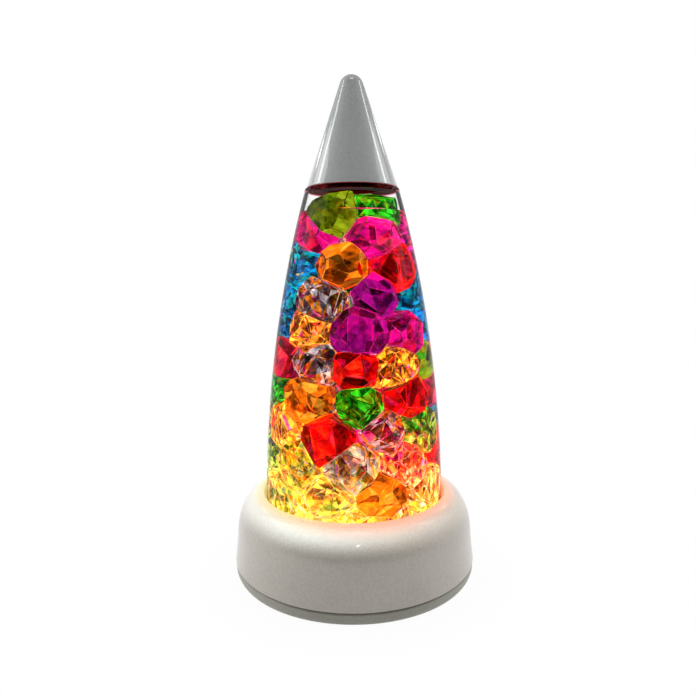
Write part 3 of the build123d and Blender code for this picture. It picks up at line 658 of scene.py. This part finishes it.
def dent(work, layers, face):
    """Breaks a facet into a fan of smaller ones round a point a little below it."""
    sizes = lamp().sizes
    if face.calc_area() < sizes.smallest_dent ** 2:
        return
    numbers = {key: face[layers[key]] for key in ("gem", "calm", "edge")}
    chance = scatter(face.calc_center_median() * OTHER_DRAW)
    corner = face.verts[int(chance * len(face.verts))].co.copy()
    fan = bmesh.ops.poke(work, faces=[face], offset=-sizes.gem_dent * chance)
    peak = fan["verts"][0]
    peak.co += (corner - peak.co) * PEAK_SHARE * scatter(corner)
    for part in fan["faces"]:
        part.normal_update()
        mark_facet(part, layers, numbers)


def cut_gems(name, node, material, calm_share):
    """All gems of one colour."""
    source = bmesh.new()
    source.from_mesh(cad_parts[node].data)
    bmesh.ops.remove_doubles(source, verts=source.verts, dist=GEM_MERGE_REACH)
    bmesh.ops.dissolve_limit(source, angle_limit=FLAT_ANGLE, verts=source.verts, edges=source.edges)
    work = bmesh.new()
    layers = {key: work.faces.layers.float.new(key) for key in GEM_NUMBERS}
    for group in islands(source):
        cut_gem(work, layers, group, calm_share)
    mesh = bpy.data.meshes.new(name)
    work.to_mesh(mesh)
    work.free()
    source.free()
    mesh.materials.append(material)
    return new_object(name, mesh)


# Shader nodes


def feed(tree, entry, value):
    """Sets a socket to a number, a vector or a colour, or links another socket to it."""
    if isinstance(value, bpy.types.NodeSocket):
        tree.links.new(value, entry)
    else:
        entry.default_value = (*value, 1) if entry.type == "RGBA" else value


def feed_all(tree, node, **values):
    """Feeds a node's sockets by their names."""
    for socket, value in values.items():
        feed(tree, node.inputs[socket.replace("_", " ")], value)


def maths(tree, operation, *values, clamp=False):
    """A Math node; its arguments are sockets or numbers."""
    node = tree.nodes.new("ShaderNodeMath")
    node.operation = operation
    node.use_clamp = clamp
    for entry, value in zip(node.inputs, values):
        feed(tree, entry, value)
    return node.outputs[0]


def times(tree, first, *others):
    """The product of sockets and numbers."""
    for other in others:
        first = maths(tree, "MULTIPLY", first, other)
    return first


def plus(tree, first, *others):
    """The sum of sockets and numbers."""
    for other in others:
        first = maths(tree, "ADD", first, other)
    return first


def rest(tree, value):
    """What a value leaves of one."""
    return maths(tree, "SUBTRACT", 1.0, value)


def above(tree, value, limit):
    """One where a value is over a limit, else zero."""
    return maths(tree, "GREATER_THAN", value, limit)


def below(tree, value, limit):
    """One where a value is under a limit, else zero."""
    return maths(tree, "LESS_THAN", value, limit)


def mixed(tree, first, second):
    """One number that looks random out of two."""
    return maths(tree, "FRACT", plus(tree, first, second))


def swing(tree, value, reach):
    """A number from 0 to 1 turned into one round 0."""
    return times(tree, maths(tree, "SUBTRACT", value, 0.5), reach)


def vectors(tree, operation, *values):
    """A Vector Math node; its arguments are sockets or vectors."""
    node = tree.nodes.new("ShaderNodeVectorMath")
    node.operation = operation
    for entry, value in zip(node.inputs, values):
        feed(tree, entry, value)
    return node.outputs


def scaled(tree, shade, amount):
    """A colour made brighter or darker."""
    node = tree.nodes.new("ShaderNodeVectorMath")
    node.operation = "SCALE"
    feed_all(tree, node, Vector=shade, Scale=amount)
    return node.outputs["Vector"]


def blend(tree, factor, first, second, mode="MIX"):
    """A colour Mix node; its arguments are sockets or colours."""
    node = tree.nodes.new("ShaderNodeMix")
    node.data_type = "RGBA"
    node.blend_type = mode
    for entry, value in ((node.inputs[0], factor), (node.inputs[6], first), (node.inputs[7], second)):
        feed(tree, entry, value)
    return node.outputs[2]


def ramp(tree, value, low, high, start=0.0, end=1.0):
    """A smooth rise between two values."""
    node = tree.nodes.new("ShaderNodeMapRange")
    node.interpolation_type = "SMOOTHSTEP"
    feed_all(tree, node, Value=value, From_Min=low, From_Max=high, To_Min=start, To_Max=end)
    return node.outputs["Result"]


def own_place(tree):
    """Object coordinates."""
    return tree.nodes.new("ShaderNodeTexCoord").outputs["Object"]


def own_number(tree, name):
    """A number that the mesh holds for each face."""
    node = tree.nodes.new("ShaderNodeAttribute")
    node.attribute_name = name
    return node.outputs["Fac"]


def axes_of(tree, where):
    """The three numbers of a place."""
    node = tree.nodes.new("ShaderNodeSeparateXYZ")
    feed(tree, node.inputs[0], where)
    return node.outputs


def noise(tree, where, scale, detail=2.0):
    """Soft noise over a place, as a number and as a colour."""
    node = tree.nodes.new("ShaderNodeTexNoise")
    feed_all(tree, node, Vector=where, Scale=scale, Detail=detail)
    return node.outputs


def cells(tree, where, scale, feature="F1"):
    """Uneven cells over a place."""
    node = tree.nodes.new("ShaderNodeTexVoronoi")
    node.feature = feature
    feed_all(tree, node, Vector=where, Scale=scale)
    return node.outputs


def shader_group(name, inputs, colours, numbers=()):
    """An empty shader group with these inputs and outputs, and the sockets of its two end nodes."""
    group = bpy.data.node_groups.new(name, "ShaderNodeTree")
    for socket, value in inputs.items():
        tinted = isinstance(value, tuple)
        kind = "NodeSocketColor" if tinted else "NodeSocketFloat"
        entry = group.interface.new_socket(socket, in_out="INPUT", socket_type=kind)
        entry.default_value = (*value, 1) if tinted else value
    for kind, sockets in (("NodeSocketColor", colours), ("NodeSocketFloat", numbers)):
        for socket in sockets:
            group.interface.new_socket(socket, in_out="OUTPUT", socket_type=kind)
    return group, group.nodes.new("NodeGroupInput").outputs, group.nodes.new("NodeGroupOutput").inputs


def grouped(tree, group, **values):
    """A node group set into a material with values of its own."""
    node = tree.nodes.new("ShaderNodeGroup")
    node.node_tree = group
    feed_all(tree, node, **values)
    return node.outputs


# Materials


def finish(name, **sockets):
    """A material with one Principled shader, its plain values set on the shader."""
    material = bpy.data.materials.new(name)
    material.use_nodes = True
    set_shader(material.node_tree, **sockets)
    return material


def set_shader(tree, **sockets):
    """Sets or links sockets of a material's shader."""
    feed_all(tree, tree.nodes["Principled BSDF"], **sockets)


def set_relief(tree, height, strength, distance):
    """Gives a material's surface a fine relief."""
    node = tree.nodes.new("ShaderNodeBump")
    feed_all(tree, node, Height=height, Strength=strength, Distance=distance)
    set_shader(tree, Normal=node.outputs["Normal"])


def colour(name):
    """One of the lamp's colours as a plain tuple."""
    return tuple(getattr(lamp().colours, name))


def moulded_group():
    """Moulded plastic: cloudy tone, uneven polish and a fine skin."""
    group = bpy.data.node_groups.get("moulded_skin")
    if group:
        return group
    inputs = {"Colour": WHITE, "Polish": 0.3, "Spread": 0.1, "Grain": 900.0}
    group, start, end = shader_group("moulded_skin", inputs, ("Colour",), ("Roughness", "Height"))
    where = own_place(group)
    cloud = noise(group, where, CLOUDS, 3.0)["Fac"]
    skin = noise(group, where, start["Grain"])["Fac"]
    tone = blend(group, ramp(group, cloud, *MIDTONES), CLOUD_SHADE, WHITE)
    dark = blend(group, 1.0, tone, SKIN_SHADE, "MULTIPLY")
    tone = blend(group, ramp(group, skin, *MIDTONES), dark, tone)
    feed(group, end["Colour"], blend(group, 1.0, start["Colour"], tone, "MULTIPLY"))
    feed(group, end["Roughness"], plus(group, start["Polish"], swing(group, cloud, start["Spread"])))
    feed(group, end["Height"], skin)
    return group


def use_moulded(material, tone, polish, spread=0.1, grain=900.0, bump=0.02):
    """Gives a material the moulded skin."""
    tree = material.node_tree
    skin = grouped(tree, moulded_group(), Colour=tone, Polish=polish, Spread=spread, Grain=grain)
    set_shader(tree, Base_Color=skin["Colour"], Roughness=skin["Roughness"])
    set_relief(tree, skin["Height"], bump, SKIN_DEPTH)
    return material


def along_grain(group, where, gem):
    """A place turned and stretched another way in each gem."""
    turn = group.nodes.new("ShaderNodeVectorRotate")
    feed_all(group, turn, Vector=where, Axis=GRAIN_AXIS, Angle=times(group, gem, math.tau))
    return vectors(group, "MULTIPLY", turn.outputs["Vector"], GRAIN_STRETCH)["Vector"]


def warped(group, where):
    """A place pushed about by soft waves."""
    push = noise(group, where, WAVES)["Color"]
    return vectors(group, "MULTIPLY_ADD", push, (WAVE_REACH, WAVE_REACH, WAVE_REACH), where)["Vector"]


def crumple(group, where, scale):
    """Cells of crumpled plastic: each has three numbers that look random and leans its own way."""
    cell = cells(group, where, scale)
    centred = vectors(group, "SUBTRACT", where, cell["Position"])["Vector"]
    lean = vectors(group, "SUBTRACT", cell["Color"], MIDDLE)["Vector"]
    return axes_of(group, cell["Color"]), vectors(group, "DOT_PRODUCT", centred, lean)["Value"]


def crease_glints(group, where, scale):
    """Thin lines between the cells of crumpled plastic, which carry painted glints."""
    return ramp(group, cells(group, where, scale, "DISTANCE_TO_EDGE")["Distance"], *CREASE_WIDTH, 1.0, 0.0)


def gem_body(group, start, pick, lively, broad, fine):
    """Colours of a gem's cells: its own, its partners' and stray hues as painted reflections of other gems,
    and a few nearly black as painted shade.
    """
    often = maths(group, "SUBTRACT", 1 - SECOND_LEAST_SHARE, times(group, lively, SECOND_SHARE))
    body = blend(group, above(group, pick, often), start["Colour"], start["Second"])
    seldom = rest(group, times(group, lively, THIRD_SHARE))
    body = blend(group, above(group, mixed(group, pick, broad["Z"]), seldom), body, start["Third"])
    # Stray hues: painted reflections of other gems
    stray = group.nodes.new("ShaderNodeCombineColor")
    stray.mode = "HSV"
    hue = mixed(group, times(group, mixed(group, broad["Y"], fine["Y"]), HUE_SPAN), FIRST_HUE)
    for entry, value in zip(stray.inputs, (hue, STRAY_SATURATION, STRAY_VALUE)):
        feed(group, entry, value)
    rare = rest(group, times(group, ramp(group, lively, *LIVELY), start["Stray"]))
    body = blend(group, above(group, mixed(group, pick, fine["Z"]), rare), body, stray.outputs[0])
    # A few cells nearly black: painted shade
    deep = blend(group, DEEPNESS, start["Colour"], BLACK)
    return blend(group, below(group, pick, DEEP_SHARE), body, deep)


def foot_light(group, start, axes, chance):
    """Painted light near the bottle's foot, in patches: warm and pale on the left, rosy on the right."""
    left = blend(group, below(group, chance, LEFT_PALE_SHARE), start["Warm"], start["Pale"])
    left = blend(group, above(group, chance, 1 - LEFT_ROSY_SHARE), left, start["Rosy"])
    right = blend(group, below(group, chance, RIGHT_PALE_SHARE), start["Rosy"], start["Pale"])
    across = plus(group, axes["X"], swing(group, chance, PATCH_SWING))
    lit = blend(group, ramp(group, across, *FOOT_MIDDLE), left, right)
    return blend(group, above(group, chance, 1 - OWN_SHARE), lit, start["Colour"])


def gem_group():
    """Tone of a gem: colours over its crumpled cells, painted light and shade along its cells and streaks,
    painted highlights and glints, and painted light at its foot.
    """
    group = bpy.data.node_groups.get("gem_tone")
    if group:
        return group
    inputs = dict.fromkeys(("Colour", "Second", "Third", "Shine", "Warm", "Rosy", "Pale"), WHITE)
    inputs.update({"Stray": STRAY_SHARE, "Foot": FOOT_HEIGHT, "Fade": FADE_HEIGHT})
    group, start, end = shader_group("gem_tone", inputs, ("Body", "Glow"), ("Height",))
    gem, calm, facet, edge = (own_number(group, name) for name in GEM_NUMBERS)
    lively = rest(group, times(group, calm, CALMING))
    where = own_place(group)
    axes = axes_of(group, where)
    grain = along_grain(group, where, gem)
    streak = noise(group, grain, STREAKS, 4.0)["Fac"]
    pushed = warped(group, grain)
    broad, broad_lean = crumple(group, pushed, BROAD_CELLS)
    fine, fine_lean = crumple(group, pushed, FINE_CELLS)
    pick = mixed(group, facet, broad["X"])
    # Painted light at the foot, fading higher up
    rise = plus(group, axes["Z"], swing(group, pick, FOOT_SWING))
    foot = ramp(group, rise, start["Foot"], start["Fade"], FOOT_SHARE, 0.0)
    foot = times(group, foot, ramp(group, lively, *FOOT_LIVELY))
    lit = foot_light(group, start, axes, mixed(group, pick, fine["Y"]))
    washed = blend(group, foot, gem_body(group, start, pick, lively, broad, fine), lit)
    # Painted light and shade that swing over the facets, cells and streaks
    tone = plus(group, swing(group, mixed(group, facet, broad["Y"]), FACET_SWING),
                swing(group, fine["Z"], CELL_SWING), swing(group, streak, STREAK_SWING))
    level = plus(group, TONE, times(group, foot, FOOT_TONE))
    still = times(group, swing(group, facet, CALM_SWING), calm)
    tone = plus(group, times(group, tone, lively), level, still)
    # Where the painted shade falls the body darkens and the glow dims
    darkest = plus(group, DARKEST, times(group, foot, FOOT_DARKEST))
    feed(group, end["Body"], scaled(group, washed, ramp(group, tone, *BODY_TONES, darkest, BODY_SHARE)))
    glow = scaled(group, washed, maths(group, "MAXIMUM", tone, FAINTEST))
    # Painted highlights on the brightest cells
    shine = times(group, ramp(group, tone, *SHINE_TONES, 0.0, SHINE_SHARE), lively)
    glow = blend(group, 1.0, glow, scaled(group, start["Shine"], shine), "ADD")
    # Painted glints along the streaks and between some cells, brighter at the foot
    some = above(group, mixed(group, broad["Z"], fine["X"]), 1 - CREASED_SHARE)
    crease_glint = times(group, crease_glints(group, pushed, BROAD_CELLS), some,
                   maths(group, "ADD", CREASE_LIGHT, foot, clamp=True))
    spark = maths(group, "MAXIMUM", ramp(group, streak, *SPARK_STREAKS), crease_glint)
    bright = plus(group, SPARK, times(group, foot, SPARK_FOOT))
    spark = times(group, spark, ramp(group, lively, *LIVELY), bright)
    # Painted highlight lines along the gems' polished edges, brighter at the foot
    outline = plus(group, times(group, lively, EDGE_GLINT), times(group, foot, EDGE_GLINT_FOOT))
    line = maths(group, "MAXIMUM", times(group, edge, outline), spark, clamp=True)
    pale = blend(group, PALE_SHARE, washed, start["Pale"])
    feed(group, end["Glow"], blend(group, line, glow, pale))
    relief = plus(group, broad_lean, times(group, fine_lean, FINE_RELIEF))
    feed(group, end["Height"], times(group, relief, lively))
    return group


def gem_finish(name):
    """Clear tinted acrylic with a painted glow that stands in for the light it carries up from the base."""
    second, third, shine = GEM_PARTNERS[name]
    cool = name in COOL_GEMS
    material = finish("gem_" + name, Roughness=0.02, IOR=1.16, Transmission_Weight=1.0,
                      Emission_Strength=lamp().view.gem_glow * GEM_LIFT.get(name, 1.0))
    tree = material.node_tree
    hues = {"Colour": name, "Second": second, "Third": third, "Shine": shine, "Warm": "warm", "Rosy": "rosy",
            "Pale": shine if cool else "pale"}
    tone = grouped(tree, gem_group(), Stray=COOL_STRAY_SHARE if cool else STRAY_SHARE,
                   **{socket: colour(hue) for socket, hue in hues.items()})
    set_shader(tree, Base_Color=tone["Body"], Emission_Color=tone["Glow"])
    set_relief(tree, tone["Height"], strength=0.6, distance=1.0)
    return material


def lip_group():
    """Painted light on the top of the base, standing in for the light from the bottle's foot: warm on the
    left, rosy on the right.
    """
    # Colours of the painted light, farther out and close to the bottle
    inputs = {"Warm": (0.52, 0.55, 0.51), "Rosy": (0.32, 0.26, 0.21),
              "Warm blush": (0.56, 0.46, 0.17), "Rosy blush": (0.66, 0.24, 0.12),
              "Inner": 0.0495, "Outer": 0.0565, "Low": 0.0305, "High": 0.0425}
    group, start, end = shader_group("lip_light", inputs, ("Glow",))
    where = own_place(group)
    axes = axes_of(group, where)
    # A speckle in the painted light that stands in for gritty highlights
    glow_speckle = ramp(group, noise(group, where, GLOW_SPECKLE, 4.0)["Fac"], *GLOW_SPECKLE_SPAN)
    ahead = times(group, axes["Y"], FRONT_STRETCH)
    square = plus(group, maths(group, "POWER", axes["X"], 2.0), maths(group, "POWER", ahead, 2.0))
    near = ramp(group, maths(group, "SQRT", square), start["Inner"], start["Outer"], 1.0, 0.0)
    shade = blend(group, ramp(group, axes["X"], *LIP_ROSY), start["Warm"], start["Rosy"])
    near_glow = blend(group, ramp(group, axes["X"], *NEAR_GLOW_ROSY), start["Warm blush"], start["Rosy blush"])
    shade = blend(group, near, shade, near_glow)
    # The painted light is stronger at the front and weaker towards the back
    facing = times(group, ramp(group, axes["Y"], *LIP_FRONT), ramp(group, axes["Y"], *LIP_BACK))
    apart = times(group, maths(group, "SUBTRACT", facing, 1.0), rest(group, near))
    facing = times(group, plus(group, 1.0, apart), glow_speckle)
    upper = times(group, ramp(group, axes["Z"], start["Low"], start["High"]), facing)
    feed(group, end["Glow"], scaled(group, shade, upper))
    return group


def clear_finish(name, ior, sheen, top):
    """Clear plastic or liquid with a faint waviness, painted dark red in the stopper's colour above a height,
    as a reflection of the gems' red light under the cap.
    """
    material = finish(name, Roughness=0.0, IOR=ior, Specular_Tint=(sheen, sheen, sheen),
                      Transmission_Weight=1.0)
    tree = material.node_tree
    where = own_place(tree)
    # Above the top the clear piece takes the painted red reflection
    tinted = ramp(tree, axes_of(tree, where)["Z"], top - STOPPER_FADE, top)
    set_shader(tree, Base_Color=blend(tree, tinted, CLEAR, colour("stopper")))
    set_relief(tree, noise(tree, where, WAVINESS, 1.0)["Fac"], strength=0.05, distance=0.0003)
    return material


def thrown_back(tree):
    """One where a clear surface has thrown a ray back, so that it meets the dim side of the room."""
    path = tree.nodes.new("ShaderNodeLightPath").outputs
    return times(tree, above(tree, path["Glossy Depth"], 0.5), above(tree, path["Transmission Depth"], 0.5))


def dress(node, material):
    """Gives a CAD node a finish of its own."""
    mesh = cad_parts[node].data
    mesh.materials.clear()
    mesh.materials.append(material)


# Operators


class LampOperator(bpy.types.Operator):
    """Shared ground of the lamp's operators."""
    bl_options = {"REGISTER", "UNDO"}


class SENSORY_OT_cap(LampOperator):
    """Turns the hollow white cone cap"""
    bl_idname = "sensory.cap"
    bl_label = "Cone Cap"

    def execute(self, context):
        white = finish("cap_white", Coat_Weight=1.0, Coat_Roughness=0.05, Coat_IOR=1.7)
        use_moulded(white, colour("cap"), polish=0.16)
        place(turned("cone_cap_turned", cap_outline(), white), "cap", "cone_cap")
        return {"FINISHED"}


class SENSORY_OT_bottle(LampOperator):
    """Turns the clear bottle and its filling"""
    bl_idname = "sensory.bottle"
    bl_label = "Bottle and Liquid"

    def execute(self, context):
        # The clear pieces take the painted red reflection above this height
        top = height_of("cone_cap", 0) - STOPPER_DROP
        clear = clear_finish("clear_bottle", ior=1.08, sheen=0.05, top=top)
        place(turned("bottle_turned", bottle_outline(), clear), "bottle", "bottle")
        water = clear_finish("liquid_clear", ior=1.33, sheen=0.04, top=top)
        place(turned("liquid_turned", liquid_outline(), water), "bottle", "liquid")
        return {"FINISHED"}


class SENSORY_OT_gems(LampOperator):
    """Cuts the gems, one piece for each colour"""
    bl_idname = "sensory.gems"
    bl_label = "Gems"

    def execute(self, context):
        for name in GEM_PARTNERS:
            gems = cut_gems("gems_" + name + "_cut", "gems_" + name, gem_finish(name),
                            CALM_GEMS.get(name, FEW_CALM_GEMS))
            place(gems, "bottle", "gems_" + name)
        return {"FINISHED"}


class SENSORY_OT_base(LampOperator):
    """Finishes the base housing, its plate, door, feet and switch"""
    bl_idname = "sensory.base"
    bl_label = "Base"

    def execute(self, context):
        # The housing's emission is the painted light on its lip
        white = finish("base_white", Coat_Weight=0.45, Coat_Roughness=0.09,
                       Emission_Strength=lamp().view.lip_glow)
        use_moulded(white, colour("base"), polish=0.3)
        set_shader(white.node_tree, Emission_Color=grouped(white.node_tree, lip_group())["Glow"])
        housing = opened_seam(copied("base_housing_smooth", "base_housing", white))
        place(housing, "base", "base_housing")
        grey = use_moulded(finish("plate_grey"), colour("plate"), polish=0.42)
        plate = opened_seam(copied("bottom_plate_smooth", "bottom_plate", grey))
        place(plate, "base", "bottom_plate")
        dress("battery_door", grey)
        rubber = use_moulded(finish("foot_rubber"), (0.03, 0.03, 0.03), polish=0.75, bump=0.1, **RUBBER)
        dress("rubber_feet", rubber)
        dress("switch_body", use_moulded(finish("switch_black"), (0.02, 0.02, 0.02), polish=0.45))
        dress("switch_slider", use_moulded(finish("switch_grey"), (0.05, 0.05, 0.05), polish=0.4))
        steel = use_moulded(finish("steel", Metallic=1.0), (0.6, 0.6, 0.61), polish=0.32, spread=0.25,
                            grain=2500.0, bump=0.05)
        for node in ("plate_screws", "board_screws", "battery_contacts"):
            dress(node, steel)
        return {"FINISHED"}


class SENSORY_OT_light(LampOperator):
    """Finishes the lens, diodes, board and the closure of the bottle"""
    bl_idname = "sensory.light"
    bl_label = "Light and Closure"

    def execute(self, context):
        lens = finish("lens_frost", Emission_Color=(1.0, 0.9, 0.6), Emission_Strength=0.6)
        dress("lens_disc", use_moulded(lens, (0.9, 0.88, 0.8), polish=0.6))
        seat = use_moulded(finish("seat_rubber"), (0.75, 0.75, 0.73), polish=0.6, bump=0.05, **RUBBER)
        dress("seat_ring", seat)
        dress("reflector", use_moulded(finish("reflector_white"), (0.85, 0.85, 0.83), polish=0.15))
        dress("led_board", use_moulded(finish("board_white"), (0.75, 0.76, 0.74), polish=0.5))
        for name, glow in (("yellow", (1.0, 0.8, 0.3)), ("red", (1.0, 0.2, 0.2))):
            lit = finish("led_" + name, Emission_Color=glow, Emission_Strength=2.0)
            dress("leds_" + name, use_moulded(lit, glow, polish=0.15))
        # The stopper and its gasket are painted dark red, a reflection of the gems' red light under the cap
        dress("stopper", use_moulded(finish("stopper_red"), (0.22, 0.004, 0.006), polish=0.3))
        gasket = use_moulded(finish("gasket_rubber"), (0.16, 0.003, 0.004), polish=0.7, **RUBBER)
        dress("stopper_gasket", gasket)
        return {"FINISHED"}


class SENSORY_OT_supply(LampOperator):
    """Finishes the cells, their tray and the leads"""
    bl_idname = "sensory.supply"
    bl_label = "Cells and Leads"

    def execute(self, context):
        wrap = finish("cell_wrap", Coat_Weight=0.4)
        dress("battery_cells", use_moulded(wrap, (0.05, 0.055, 0.065), polish=0.25))
        dress("battery_tray", use_moulded(finish("tray_plastic"), (0.07, 0.075, 0.08), polish=0.5))
        for name, tone in (("red", (0.45, 0.02, 0.015)), ("black", (0.012, 0.012, 0.012)),
                           ("white", (0.75, 0.75, 0.73))):
            dress("lead_" + name, use_moulded(finish("lead_" + name), tone, polish=0.4, grain=1800.0))
        return {"FINISHED"}


class SENSORY_OT_stage(LampOperator):
    """Sets the floor, the light and the camera"""
    bl_idname = "sensory.stage"
    bl_label = "Stage"

    def execute(self, context):
        scene = context.scene
        scene.view_settings.view_transform = "Standard"
        scene.cycles.max_bounces = BOUNCES
        scene.cycles.transmission_bounces = BOUNCES
        view = lamp().view
        self.floor(view)
        self.sky(scene, view)
        for name, (setting, power_share, spot, width, height) in SOFT_BOXES.items():
            self.soft_box(scene, name, getattr(view, setting) * power_share, spot, width, height)
        self.camera(scene, view)
        return {"FINISHED"}

    def floor(self, view):
        """A floor that is white to the camera and a little darker under the lamp."""
        mesh = bpy.data.meshes.new("floor")
        corners = [(x * FLOOR_HALF, y * FLOOR_HALF, 0) for x, y in ((-1, -1), (1, -1), (1, 1), (-1, 1))]
        mesh.from_pydata(corners, [], [(0, 1, 2, 3)])
        floor = new_object("floor", mesh)
        material = bpy.data.materials.new("pale_floor")
        material.use_nodes = True
        tree = material.node_tree
        tree.nodes.clear()
        matte = tree.nodes.new("ShaderNodeBsdfDiffuse")
        white = tree.nodes.new("ShaderNodeEmission")
        dim = times(tree, thrown_back(tree), view.dimming)
        feed_all(tree, matte, Color=blend(tree, dim, FLOOR_TONE, BLACK))
        feed_all(tree, white, Strength=rest(tree, dim))
        path = tree.nodes.new("ShaderNodeLightPath").outputs
        seen = plus(tree, path["Is Camera Ray"], path["Is Glossy Ray"])
        seen = maths(tree, "ADD", seen, path["Is Transmission Ray"], clamp=True)
        span = vectors(tree, "LENGTH", own_place(tree))["Value"]
        white_share = times(tree, seen, ramp(tree, span, *FLOOR_SHADOW))
        mix = tree.nodes.new("ShaderNodeMixShader")
        for entry, value in zip(mix.inputs, (white_share, matte.outputs[0], white.outputs[0])):
            feed(tree, entry, value)
        feed_all(tree, tree.nodes.new("ShaderNodeOutputMaterial"), Surface=mix.outputs[0])
        mesh.materials.append(material)

    def sky(self, scene, view):
        """A white backdrop that lights the lamp from behind, and a dim ceiling."""
        world = bpy.data.worlds.new("studio")
        scene.world = world
        world.use_nodes = True
        tree = world.node_tree
        axes = axes_of(tree, tree.nodes.new("ShaderNodeTexCoord").outputs["Generated"])
        path = tree.nodes.new("ShaderNodeLightPath").outputs
        behind = ramp(tree, axes["Y"], *SKY_DEPTH, view.front, view.sky)
        across = ramp(tree, axes["X"], *SKY_WIDTH, SKY_LEFT, view.right)
        mirrored = ramp(tree, axes["Z"], *SKY_EDGE, 0.0, 1.0 - view.edge)
        mirrored = rest(tree, times(tree, mirrored, path["Is Glossy Ray"]))
        ceiling = ramp(tree, axes["Z"], *SKY_TOP, 0.0, view.ceiling)
        strength = maths(tree, "MAXIMUM", times(tree, behind, across, mirrored), ceiling)
        thrown = thrown_back(tree)
        through = times(tree, path["Is Transmission Ray"], rest(tree, thrown))
        seen = maths(tree, "MAXIMUM", path["Is Camera Ray"], through)
        strength = maths(tree, "MAXIMUM", strength, seen)
        strength = times(tree, strength, rest(tree, times(tree, thrown, view.dimming)))
        feed_all(tree, tree.nodes["Background"], Color=WHITE, Strength=strength)

    def soft_box(self, scene, name, power, spot, width, height):
        """A flat light aimed at the lamp's middle."""
        light = bpy.data.lights.new(name, "AREA")
        light.energy = power
        light.shape = "RECTANGLE"
        light.size = width
        light.size_y = height
        box = bpy.data.objects.new(name, light)
        scene.collection.objects.link(box)
        box.location = spot
        box.rotation_euler = (BOX_AIM - Vector(spot)).to_track_quat("-Z", "Y").to_euler()

    def camera(self, scene, view):
        """The camera in front of the lamp."""
        lens = bpy.data.cameras.new("camera")
        lens.lens = view.lens
        lens.sensor_width = SENSOR_WIDTH
        lens.shift_x = view.shift
        lens.clip_start = NEAREST
        camera = bpy.data.objects.new("camera", lens)
        scene.collection.objects.link(camera)
        tilt = Matrix.Rotation(math.pi / 2 - view.pitch, 4, "X") @ Matrix.Rotation(view.roll, 4, "Z")
        camera.matrix_world = Matrix.Translation((0, -view.distance, view.height)) @ tilt
        scene.camera = camera


class SENSORY_PT_panel(bpy.types.Panel):
    """Sidebar list of the lamp's operators and settings"""
    bl_idname = "SENSORY_PT_panel"
    bl_label = "Sensory Lamp"
    bl_space_type = "VIEW_3D"
    bl_region_type = "UI"
    bl_category = "Lamp"

    def draw(self, context):
        for operator in OPERATORS:
            self.layout.operator(operator.bl_idname)
        settings = context.scene.sensory_lamp
        for group in (settings.sizes, settings.colours, settings.view):
            box = self.layout.box()
            for name in group.__annotations__:
                box.prop(group, name)


OPERATORS = (SENSORY_OT_stage, SENSORY_OT_cap, SENSORY_OT_bottle, SENSORY_OT_gems, SENSORY_OT_base,
             SENSORY_OT_light, SENSORY_OT_supply)
CLASSES = (LampSizes, LampColours, LampView, LampSettings) + OPERATORS + (SENSORY_PT_panel,)


def register():
    """Registers the lamp's classes and settings."""
    for entry in CLASSES:
        bpy.utils.register_class(entry)
    bpy.types.Scene.sensory_lamp = bpy.props.PointerProperty(type=LampSettings)


def unregister():
    """Removes the lamp's classes and settings."""
    del bpy.types.Scene.sensory_lamp
    for entry in reversed(CLASSES):
        bpy.utils.unregister_class(entry)


def main():
    """Builds the lamp."""
    register()
    for operator in OPERATORS:
        section, name = operator.bl_idname.split(".")
        getattr(getattr(bpy.ops, section), name)()


if __name__ == "__main__":
    main()
